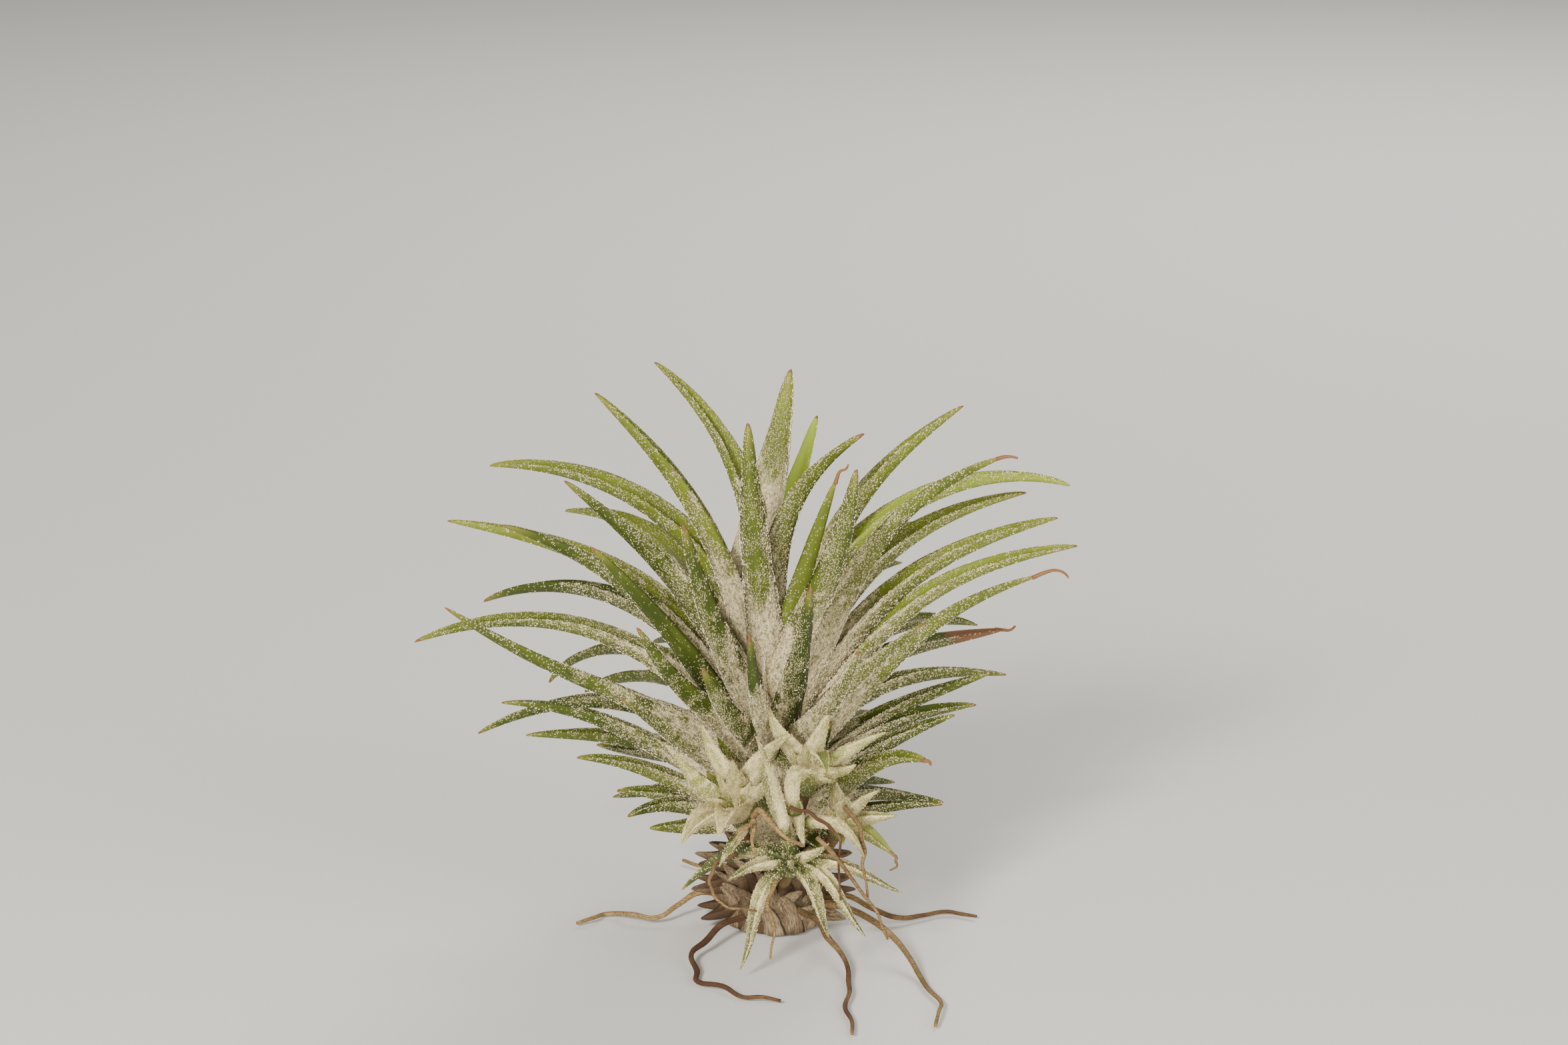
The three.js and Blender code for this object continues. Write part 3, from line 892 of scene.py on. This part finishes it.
# %% One scale
deselect_all()
bpy.ops.mesh.primitive_cone_add(vertices=3, radius1=0.5, radius2=0, depth=0.5, location=(0, 0, 0.13))
shield = bpy.context.object
shield.name = "shield"
bpy.ops.transform.resize(value=(0.44, 1.45, 0.8))
bpy.ops.object.transform_apply()
for vertex in shield.data.vertices:
    vertex.select = vertex.co.z > 0.1
bpy.ops.object.mode_set(mode="EDIT")
bpy.ops.transform.translate(value=(0, 0.35, 0))
bpy.ops.object.mode_set(mode="OBJECT")
SHIELD_POINTS = points_of(shield.data)[:, [1, 0, 2]] * np.array([1, -1, 1])
SHIELD_FACES = np.array([list(face.vertices) for face in shield.data.polygons])
print("faces in one scale:", len(SHIELD_FACES))


# %% Places for the scales
SKIN_NUDGE = 0.004
CLUMPING = 4.5
# The skin's length and girth, as shares of a leaf's reach and width, and where along it scales grow.
ARC_LENGTH = 1.06
GIRTH = 2.3
SCALED_SPAN = (0.08, 0.985)
LOST_WHERE_DRY = 0.7


def skin(leaf, along, around):
    """Points on a leaf's skin, their outward normals and the directions towards the tip."""

    def at(t, turn):
        size = outline(t, leaf["form"])
        return bend(leaf, t, size * np.cos(turn), size * np.sin(turn))

    here = at(along, around)
    forward = at(along + SKIN_NUDGE, around) - here
    sideways = at(along, around + SKIN_NUDGE * 5) - here
    return here, unit(np.cross(sideways, forward)), unit(forward)


def scatter(random, leaf, per_mm):
    """Places for one leaf's scales: place, normal, direction and share along."""
    swelling = 1 + leaf["form"][1]
    reach = reach_of(leaf) * ARC_LENGTH
    tries = int(per_mm * reach * leaf["width"] * GIRTH * swelling)
    along = random.uniform(*SCALED_SPAN, tries)
    around = random.uniform(-np.pi, np.pi, tries)
    width_here = outline(along, leaf["form"]) / swelling
    closeness = cover(leaf, along, np.cos(around), np.clip(np.sin(around), 0, 1))
    x = along * reach + leaf["seat"]
    y = around * leaf["width"] / 3
    clump = 0.55 * patchy(x * 0.9, y * 1.5) + 0.45 * patchy(x * 2.3 + 7, y * 3.4) - 0.5
    closeness = closeness + CLUMPING * clump * closeness * (1 - closeness)
    chance = closeness * width_here * (1 - dryness(leaf, along) * LOST_WHERE_DRY)
    keep = random.uniform(0, 1, tries) < chance
    along, around = along[keep], around[keep]
    return (*skin(leaf, along, around), along)


# %% Laying the scales
SCALE_LENGTH = 0.28
# How unlike each other they are: the spread of their swing in radians, the ranges of their tilt and
# of their length, and the middle and spread of their tone.
SWING = 0.35
TILTS = (-0.05, 0.4)
LENGTHS = (0.5, 1.2)
TONES = (0.55, 0.22)
SHORTER_AT_TIP = 0.2


def scale_piece(name, leaves, per_mm, length, seed):
    """One mesh that holds all the scales of some leaves."""
    random = np.random.default_rng(seed)
    rows = [scatter(random, leaf, per_mm) for leaf in leaves]
    here, out, forward, along = [np.concatenate(parts) for parts in zip(*rows)]
    count = len(here)
    swing = random.normal(0, SWING, count)[:, None]
    tilt = random.uniform(*TILTS, count)[:, None]
    ahead = forward * np.cos(swing) + np.cross(out, forward) * np.sin(swing)
    upright = out * np.cos(tilt) - ahead * np.sin(tilt)
    ahead = ahead * np.cos(tilt) + out * np.sin(tilt)
    beside = np.cross(upright, ahead)
    big = length * random.uniform(*LENGTHS, count) * (1 - SHORTER_AT_TIP * along)
    local = SHIELD_POINTS[None, :, :] * big[:, None, None]
    points = here[:, None, :] + local[..., 0:1] * ahead[:, None, :]
    points = points + local[..., 1:2] * beside[:, None, :] + local[..., 2:3] * upright[:, None, :]
    corners = len(SHIELD_POINTS)
    faces = SHIELD_FACES[None] + (np.arange(count) * corners)[:, None, None]
    mesh = bpy.data.meshes.new(name)
    mesh.from_pydata((points.reshape(-1, 3) * MM).tolist(), [], faces.reshape(-1, 3).tolist())
    tone = np.clip(random.normal(*TONES, count), 0, 1)
    note(mesh, tone=np.repeat(tone, corners))
    piece = bpy.data.objects.new(name, mesh)
    bpy.context.scene.collection.objects.link(piece)
    return piece


# %% [markdown]
# The scales of the rosette are several pieces, one for each tier, so that none of them grows too
# heavy. The back rows are hardly ever seen close by and get fewer. The offsets are the most felted.

# %% The scales
# Tries for a scale on each square mm of skin, by tier.
TIER_DENSITY = {
    "crown": 10.5,
    "upper": 9.8,
    "middle": 10.5,
    "lower": 9.5,
    "foot": 9,
    "back": 5,
    "clasp": 7,
}
OFFSET_DENSITY = 8
TIER_SEED = 40
OFFSET_SEED = 50
scale_pieces = {}
for number, (tier, per_mm) in enumerate(TIER_DENSITY.items()):
    chosen = [leaf for leaf in rosette if leaf["name"].startswith(tier)]
    name = f"scales_{tier}"
    scale_pieces[name] = scale_piece(name, chosen, per_mm, SCALE_LENGTH, TIER_SEED + number)
scale_pieces["scales_offsets"] = scale_piece(
    "scales_offsets", offset_leaves, OFFSET_DENSITY, SCALE_LENGTH * 0.8, OFFSET_SEED
)
print("faces:", {name: len(piece.data.polygons) for name, piece in scale_pieces.items()})

# %% [markdown]
# ## Stem and roots
#
# Under the rosette is a stub of stem, hidden by the dry sheaths of leaves that have died. They are
# blades too, short and papery. The long ones stick out at the back. The short ones clasp the stub
# all the way round, ring above ring, with their tips up, like the scales of a bud.

# %% The stem and its dry sheaths
STEM_PROFILE = [(5.5, 0), (6.1, 1.2), (5.3, 6), (4.6, 12)]
# First and last azimuth, count, height, reach, lift, rise and fall.
SHEATH_RINGS = [
    (8, 200, 8, 9.4, 8, 0, -20, 20),
    (-10, 190, 8, 6.5, 8.6, -8, -30, 14),
    (-22, 202, 8, 3.6, 8, -14, -30, 6),
]
DRY_SHEATH_WIDTH = 4.4
# Height and radius of the base, height and radius of the tip, and count, of the short ones.
HUSK_RINGS = [
    (0.2, 5.9, 5.0, 8.0, 14),
    (1.9, 5.2, 7.4, 7.6, 13),
    (3.7, 4.8, 9.6, 7.8, 12),
    (5.6, 4.5, 11.6, 8.0, 11),
    (7.4, 4.2, 13.0, 7.8, 10),
]
HUSK_WIDTH = 3.5
# How far a husk may stand off its even place, as a share of the spacing, how many degrees a ring is
# turned for each mm of its height, and how many a tip may lean to either side.
HUSK_SHIFT = 0.4
HUSK_SPIRAL = 23
HUSK_LEAN = 14
HUSK_RISE = 88
HUSK_FALL = 50
SHEATH_CLEARANCE = 0.1


def dry_blade(name, *place):
    """A papery blade. Its place is base, tip, rise, fall and width."""
    sheath = new_leaf(name, *place)
    vary(sheath, twist=(-30, 30), sway=(-0.5, 0.5), bright=(0, 1))
    sheath.update(thick=0.4, bare=1, bald=-1, dry=1)
    return grow(dry_pattern, sheath)


def keep_above(piece, height):
    """Lifts each point that is lower than a height up to it."""
    points = points_of(piece.data)
    points[:, 2] = np.maximum(points[:, 2], height)
    set_points(piece.data, points)


dry_pattern = straight_blade("dry_pattern", ROSETTE_FORM, 14)
stub = turned_post("stub", STEM_PROFILE, 40)
note_plain(stub, along=0.3, cover=0, dry=1, bright=0.3)
sheaths = []
for first, last, count, height, reach, lift, rise, fall in SHEATH_RINGS:
    for azimuth in np.linspace(first, last, count):
        base = ring_base(azimuth, WIDE_RING_RADIUS, height)
        tip = base + heading(azimuth, lift) * reach
        sheaths.append(dry_blade(f"sheath_{len(sheaths)}", base, tip, rise, fall, DRY_SHEATH_WIDTH))
for low, near, high, far, count in HUSK_RINGS:
    for turn in range(count):
        azimuth = 360 * (turn + draw.uniform(-HUSK_SHIFT, HUSK_SHIFT)) / count + low * HUSK_SPIRAL
        tip_azimuth = azimuth + draw.uniform(-HUSK_LEAN, HUSK_LEAN)
        base = ring_base(azimuth, near, low)
        tip = ring_base(tip_azimuth, far + draw.uniform(-0.8, 0.7), high + draw.uniform(-1.2, 1.2))
        sheaths.append(dry_blade(f"husk_{len(sheaths)}", base, tip, HUSK_RISE, HUSK_FALL, HUSK_WIDTH))
for sheath in sheaths:
    keep_above(sheath, SHEATH_CLEARANCE * MM)
print("dry sheaths:", len(sheaths))

# %% [markdown]
# The roots only hold the plant. They are wires, ochre to red brown, that leave the stem and lie
# pressed to the surface with small kinks. Around the front offset hang dry ones and strips of old
# leaf: a loop, an arch and some stubs.

# %% The roots
# Each root's points: across, away and height in mm.
ROOTS = [
    [[2, -3, 4], [6, -9, 3.2], [9, -17, 1.4], [10, -26, 0.4], [9.4, -36, 0.4], [10.2, -46, 0.4]],
    [[3, -2, 5], [10, -8, 4.6], [16, -15, 3], [19.5, -24, 0.5], [22, -34, 0.4], [21, -43, 0.4]],
    [[-2, -3, 3], [-7, -9, 2.6], [-11, -17, 1.2], [-10, -26, 0.4], [-4, -32, 0.4], [1, -33.5, 0.4]],
    [[3, 0, 3], [10, 1, 3.4], [17, -1, 0.9], [24, 3, 0.4], [28, 1, 0.4]],
    [[-3, 0, 3], [-10, 2, 3.6], [-16, -1, 0.9], [-23, 2, 0.4], [-27, -2, 0.4]],
    [[1, 3, 3], [4, 10, 3], [3, 17, 0.8], [8, 24, 0.4], [7, 30, 0.4]],
    [[-1, 3, 2.5], [-6, 9, 2.6], [-9, 16, 0.8], [-8, 22, 0.4], [-13, 26, 0.4]],
]
ROOT_RADIUS = 0.5
RUNNER_RADIUS = 0.9
RUNNER_TONE = 0.3
FLOOR_CLEARANCE = 0.03
# How far the points between may be shifted, in mm, and how a root's radius changes on its way.
ROOT_KINK = 0.45
WIRE_KINK = 0.15
THINNING = 0.5
SWELLINGS = (0.88, 1.1)


def kinked(places, amount):
    """A root's route with points halfway between, each shifted a little."""
    route = [np.array(places[0], float)]
    for before, after in zip(places, places[1:]):
        middle = (np.array(before) + np.array(after)) / 2 + draw.uniform(-amount, amount, 3)
        route += [middle, np.array(after, float)]
    return route


def root_tube(name, places, radius, kink, tone):
    """A root that thins towards its end and lies on the floor, never under it."""
    route = kinked(places, kink)
    steps = len(route) - 1
    thinned = [radius * (1 - THINNING * step / steps) for step in range(steps + 1)]
    radii = [plain * draw.uniform(*SWELLINGS) for plain in thinned]
    for place, thin in zip(route, radii):
        place[2] = max(place[2], thin + FLOOR_CLEARANCE)
    root = tube(name, route, radii)
    keep_above(root, 0)
    note_plain(root, along=0.5, cover=1, dry=1, bright=tone)
    return root


roots = [
    root_tube(f"root_{number}", places, ROOT_RADIUS, ROOT_KINK, float(draw.uniform(0, 1)))
    for number, places in enumerate(ROOTS)
]
print("roots:", len(roots))

# %% Dry strips and stubs
# Each one's radius in mm, its tone, from 0 for red brown to 1 for ochre, and its points as read from
# the front.
DRY_WIRES = {
    "arch": (0.45, 0.75, [
        (-2.7, 14.7, -21), (-1.9, 15.6, -23), (0.5, 13.0, -25), (2.4, 11.4, -26), (4.1, 10.6, -25)
    ]),
    "loop": (0.32, 0.45, [
        (-5, 9.5, -20), (-7.9, 8.2, -23), (-8.8, 5.8, -24), (-8.1, 3.6, -25), (-6.2, 2.0, -25),
        (-2.3, 1.5, -24)
    ]),
    "stub_left": (0.4, 0.9, [(-2.6, 14.2, -23), (-3.8, 13.2, -25), (-5.2, 11.3, -26)]),
    "stub_right": (0.34, 1.0, [(-2.6, 13.6, -23), (-2.9, 11.4, -25), (-2.3, 9.2, -26)]),
    "red_wire": (0.28, 0.05, [
        (2.3, 16.0, -25), (4.9, 15.4, -25), (7.3, 13.7, -25), (9.1, 11.8, -25), (9.0, 9.0, -25),
        (9.3, 3.0, -26)
    ]),
    "tan_strip": (0.34, 0.7, [
        (9.7, 16.1, -20), (11.9, 13.2, -22), (12.6, 9.8, -23), (12.3, 7.6, -24), (13.0, 3.4, -26)
    ]),
    "ochre_strip": (0.34, 0.55, [
        (6.0, 11.8, -24), (9.0, 8.6, -26), (12.0, 4.4, -28), (14.4, 1.2, -30), (15.8, -2.4, -33)
    ]),
    "side_curl": (0.24, 0.4, [
        (16.0, 9.8, -16), (16.9, 9.0, -16.2), (17.0, 7.8, -16.4), (16.0, 7.2, -16.6)
    ]),
    "low_wire": (0.3, 0.85, [(0.6, 6.0, -22), (-0.8, 2.4, -26), (0.2, -1.4, -28), (-0.4, -5.2, -31)]),
}
wires = []
for name, (radius, tone, readings) in DRY_WIRES.items():
    places = [seen(*reading) for reading in readings]
    wires.append(root_tube(name, places, radius, WIRE_KINK, tone))
runners = []
for name, (centre, foot, _) in OFFSETS.items():
    middle = seen(*centre)
    halfway = (middle + np.array(foot)) / 2
    halfway[2] = middle[2] * 0.4 + foot[2] * 0.6
    route = [middle, halfway, foot]
    runners.append(root_tube(f"{name}_runner", route, RUNNER_RADIUS, 0, RUNNER_TONE))
stem_piece = joined([stub, *sheaths, *roots, *wires, *runners], "stem_and_roots")
print("triangles in the stem and roots:", triangles(stem_piece))

# %% [markdown]
# ## Finishes
#
# A small class wraps a node's output, so that shader maths reads like ordinary maths. Each finish
# is then a few lines: masks from the numbers stored on the points and from noise, colours mixed by
# them, and fine relief.

# %% Shader maths as expressions
class Wire:
    """A node's output, with the maths signs overloaded to add Math nodes."""

    def __init__(self, paint, socket):
        self.paint = paint
        self.socket = socket

    def maths(self, operation, *values):
        return self.paint.node("ShaderNodeMath", {"operation": operation}, *values)

    def __add__(self, other):
        return self.maths("ADD", self, other)

    def __sub__(self, other):
        return self.maths("SUBTRACT", self, other)

    def __rsub__(self, other):
        return self.maths("SUBTRACT", other, self)

    def __mul__(self, other):
        return self.maths("MULTIPLY", self, other)

    __radd__ = __add__
    __rmul__ = __mul__


class Paint:
    """A material and the few calls that its finish is written with."""

    def __init__(self, name):
        self.material = bpy.data.materials.new(name)
        self.material.use_nodes = True
        self.tree = self.material.node_tree
        self.shader = self.tree.nodes["Principled BSDF"]
        self.place = self.node("ShaderNodeTexCoord", {}, output="Object")

    def connect(self, socket, value):
        if isinstance(value, Wire):
            self.tree.links.new(value.socket, socket)
        elif isinstance(value, tuple) and len(value) == 3 and socket.type == "RGBA":
            socket.default_value = (*value, 1)
        else:
            socket.default_value = value

    def node(self, kind, settings, *values, output=0, **named):
        """Adds a node, sets its settings, then its inputs by order or by name."""
        made = self.tree.nodes.new(kind)
        for setting, value in settings.items():
            setattr(made, setting, value)
        for socket, value in zip(made.inputs, values):
            self.connect(socket, value)
        for name, value in named.items():
            self.connect(made.inputs[name.replace("_", " ")], value)
        return Wire(self, made.outputs[output])

    def number(self, name):
        return self.node("ShaderNodeAttribute", {"attribute_name": name}, output="Fac")

    def skin(self, along, across):
        """The place on the skin, with so many pattern units for each mm along and across."""
        place = self.node("ShaderNodeAttribute", {"attribute_name": "skin"}, output="Vector")
        stretch = {"operation": "MULTIPLY"}
        return self.node("ShaderNodeVectorMath", stretch, place, (along, across, across))

    def noise(self, place, scale, detail=3, roughness=0.6):
        return self.node(
            "ShaderNodeTexNoise", {}, Vector=place, Scale=scale, Detail=detail, Roughness=roughness
        )

    def between(self, value, low, high):
        """0 at low and 1 at high, smooth in between. Low may be the larger."""
        settings = {"interpolation_type": "SMOOTHSTEP", "clamp": True}
        ends = (low, high, 0.0, 1.0) if low < high else (high, low, 1.0, 0.0)
        return self.node("ShaderNodeMapRange", settings, value, *ends)

    def mix(self, share, first, second):
        """A colour between two, by share."""
        made = self.tree.nodes.new("ShaderNodeMix")
        made.data_type = "RGBA"
        self.connect(made.inputs[0], share)
        self.connect(made.inputs[6], first)
        self.connect(made.inputs[7], second)
        return Wire(self, made.outputs[2])

    def ticks(self, along, across, closeness):
        """Small oval marks in the grid of the skin. Closeness is the share of them that shows."""
        place = self.skin(along, across)
        flat = {"voronoi_dimensions": "2D"}
        cells = {"Vector": place, "Scale": 1.0, "Randomness": 0.85}
        near = self.node("ShaderNodeTexVoronoi", flat, output="Distance", **cells)
        chance = self.node("ShaderNodeTexVoronoi", flat, output="Color", **cells)
        chance = self.node("ShaderNodeSeparateColor", {}, chance)
        shown = self.between(closeness - chance, -0.06, 0.04)
        return self.between(near - closeness * 0.08, 0.4, 0.24) * shown

    def relief(self, height, strength, depth):
        return self.node("ShaderNodeBump", {}, Height=height, Strength=strength, Distance=depth)

    def finish(self, colour, roughness, normal=None, specular=0.3):
        self.connect(self.shader.inputs["Base Color"], colour)
        self.connect(self.shader.inputs["Roughness"], roughness)
        if normal:
            self.connect(self.shader.inputs["Normal"], normal)
        self.shader.inputs["Specular IOR Level"].default_value = specular
        return self.material


# %% The leaf finish
TICKS_ALONG = 3.8
TICKS_ACROSS = 6.4
# Partly a lime leaf colour, partly painted light shining through a thin leaf from behind.
LIME_AND_BACKLIGHT_GREEN = (0.33, 0.43, 0.045)
OLIVE = (0.26, 0.24, 0.045)
DRY_BROWN = (0.25, 0.13, 0.055)


def leaf_paint(name, deep, bright, gaps, silver, felt_share, shaded_pit_share, dry_tip):
    """Green skin under silver scales, felted at the foot, olive near the tip and dry at its end."""
    paint = Paint(name)
    along = paint.number("along")
    closeness = paint.number("cover")
    cloud = paint.noise(paint.place, 130, 3)
    fine = paint.noise(paint.skin(1.2, 5.0), 1.0, 2)
    streak = paint.noise(paint.skin(0.12, 1.4), 1.0, 3)
    yellow = cloud * 0.5 + streak * 0.4 + paint.number("bright") * 0.8 - 0.3
    green = paint.mix(paint.between(yellow, 0.1, 0.95), deep, bright)
    green = paint.mix(paint.between(along, 0.9, 1.0) * 0.5, green, OLIVE)
    # Above a brightness of 0.8 the green turns lime: partly its own colour, partly painted light
    # shining through it from behind.
    green = paint.mix(paint.between(paint.number("bright"), 0.8, 1.5), green, LIME_AND_BACKLIGHT_GREEN)
    patch = paint.noise(paint.skin(0.5, 1.9), 1.0, 3) - 0.5
    ticks = paint.ticks(TICKS_ALONG, TICKS_ACROSS, closeness + patch * 0.9)
    colour = paint.mix(paint.between(closeness, 0.4, 1.0) * 0.75, green, gaps)
    felt = paint.between(closeness + patch * 0.8, 0.7, 1.1)
    cream = paint.mix(fine, (silver[0] * 0.8, silver[1] * 0.78, silver[2] * 0.74), silver)
    colour = paint.mix(felt * felt_share, colour, cream)
    colour = paint.mix(ticks * (0.25 + fine * 0.35 + felt * 0.3), colour, cream)
    # Sunken specks in the felt: the skin between clumps of scales, in its own olive, darkened further
    # as painted shade in those hollows.
    shaded_pits = paint.between(paint.noise(paint.skin(2.0, 3.2), 1.0, 2), 0.52, 0.38)
    shaded_pits = shaded_pits * paint.between(closeness, 0.25, 0.65)
    colour = paint.mix(shaded_pits * shaded_pit_share, colour, (gaps[0] * 0.7, gaps[1] * 0.75, gaps[2] * 0.7))
    dry_colour = paint.mix(fine, dry_tip, DRY_BROWN)
    colour = paint.mix(paint.between(paint.number("dry"), 0.1, 0.9) * 0.95, colour, dry_colour)
    rough = 0.52 + ticks * 0.2 + felt * 0.2
    normal = paint.relief(ticks + fine * 0.25 - shaded_pits * 0.6, 0.8, 0.1 * MM)
    return paint.finish(colour, rough, normal, specular=0.18)


leaf_material = leaf_paint(
    "silver_green_leaf",
    deep=(0.03, 0.045, 0.006),
    bright=(0.16, 0.195, 0.02),
    gaps=(0.13, 0.13, 0.04),
    silver=(1.0, 0.86, 0.56),
    felt_share=0.7,
    shaded_pit_share=0.6,
    dry_tip=(0.12, 0.032, 0.014),
)
offset_material = leaf_paint(
    "pale_felt_leaf",
    deep=(0.035, 0.05, 0.015),
    bright=(0.22, 0.24, 0.06),
    gaps=(0.36, 0.33, 0.13),
    silver=(1.0, 0.84, 0.49),
    felt_share=0.72,
    shaded_pit_share=0.22,
    dry_tip=(0.3, 0.24, 0.09),
)
print("leaf finishes:", leaf_material.name, offset_material.name)


# %% The scale finish
def scale_paint(name, dull, bright):
    """Silver scales, each with its own tone."""
    paint = Paint(name)
    colour = paint.mix(paint.between(paint.number("tone"), 0.05, 0.95), dull, bright)
    return paint.finish(colour, 0.55)


scale_material = scale_paint("silver_scale", (0.48, 0.41, 0.25), (0.95, 0.84, 0.61))
felt_material = scale_paint("felt_scale", (0.5, 0.43, 0.24), (0.95, 0.81, 0.52))


# %% The stem finish
PAPER_SHADES = ((0.075, 0.042, 0.022), (0.33, 0.25, 0.15))
WIRE_SHADES = ((0.085, 0.036, 0.02), (0.36, 0.245, 0.1))
CRACK_BROWN = (0.055, 0.03, 0.018)


def stem_paint(name):
    """Dry brown fibre: papery sheaths and ochre to red brown roots."""
    paint = Paint(name)
    tone = paint.number("bright")
    wire_like = paint.number("cover")
    cloud = paint.noise(paint.place, 160, 4)
    fibre = paint.noise(paint.skin(0.5, 6.0), 1.0, 3, 0.7)
    shade = paint.between(cloud * 1.2 + tone * 0.6, 0.5, 1.25)
    paper = paint.mix(shade, *PAPER_SHADES)
    wiry = paint.mix(shade, *WIRE_SHADES)
    colour = paint.mix(paint.between(wire_like, 0.4, 0.6), paper, wiry)
    colour = paint.mix(paint.between(fibre, 0.6, 0.38) * 0.7, colour, CRACK_BROWN)
    normal = paint.relief(fibre, 0.9, 0.3 * MM)
    return paint.finish(colour, 0.8, normal, specular=0.2)


stem_material = stem_paint("dry_fibre")


def dress(piece, material):
    """Gives a piece one material in place of any that it has."""
    piece.data.materials.clear()
    piece.data.materials.append(material)


dress(rosette_piece, leaf_material)
dress(stem_piece, stem_material)
for piece in offset_pieces.values():
    dress(piece, offset_material)
for name, piece in scale_pieces.items():
    dress(piece, felt_material if name == "scales_offsets" else scale_material)

# %% [markdown]
# ## Handing the pieces to the frame
#
# Nothing on this plant moves on its own, so every piece rides on the one body, root. The straight
# blades and the single scale were only patterns, and are deleted.

# %% Riding on the frame
for pattern in (rosette_blade, offset_blade, dry_pattern, shield):
    bpy.data.objects.remove(pattern)
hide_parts("rosette")
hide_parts("stem")
for name, piece in offset_pieces.items():
    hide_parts(name)
for piece in (rosette_piece, stem_piece, *offset_pieces.values(), *scale_pieces.values()):
    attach(piece, "root")

# %% [markdown]
# ## Floor and light
#
# The plant stands on a plain pale floor. The main light comes from the upper left and is fairly
# small, so that each scale casts its own shade. A wide low one in front lights the felted bases,
# weaker ones from the right and the back open the shadows, and a pale sky fills the rest.

# %% Floor and light
WARM_WHITE = (1, 0.96, 0.88)
LIGHT_AIM = np.array([0, 0, 0.04])
SKY_COLOUR = (1, 0.97, 0.93, 1)
SKY_STRENGTH = 0.25
deselect_all()
bpy.ops.mesh.primitive_plane_add(size=8, location=(0, 0, -0.0002))
floor = bpy.context.object
floor.name = "floor"
floor_paint = Paint("pale_floor")
dress(floor, floor_paint.finish((0.7, 0.69, 0.68), 0.9))


def soft_light(name, place, size, power):
    """A square light that faces the plant."""
    deselect_all()
    bpy.ops.object.light_add(type="AREA", location=place)
    light = bpy.context.object
    light.name = name
    light.data.size = size
    light.data.energy = power
    light.data.color = WARM_WHITE
    aim = LIGHT_AIM - np.array(place)
    flat = math.hypot(aim[0], aim[1])
    light.rotation_euler = (math.atan2(flat, -aim[2]), 0, math.atan2(aim[1], aim[0]) - math.pi / 2)


soft_light("key_light", (-0.34, -0.8, 0.48), 0.18, 13)
soft_light("fill_light", (0.65, -0.6, 0.4), 0.6, 5)
soft_light("front_light", (-0.1, -0.95, 0.14), 0.4, 9)
soft_light("back_light", (0.25, 0.7, 0.6), 0.4, 6)
world = bpy.data.worlds.new("pale_sky")
world.use_nodes = True
sky = world.node_tree.nodes["Background"]
sky.inputs["Color"].default_value = SKY_COLOUR
sky.inputs["Strength"].default_value = SKY_STRENGTH
bpy.context.scene.world = world
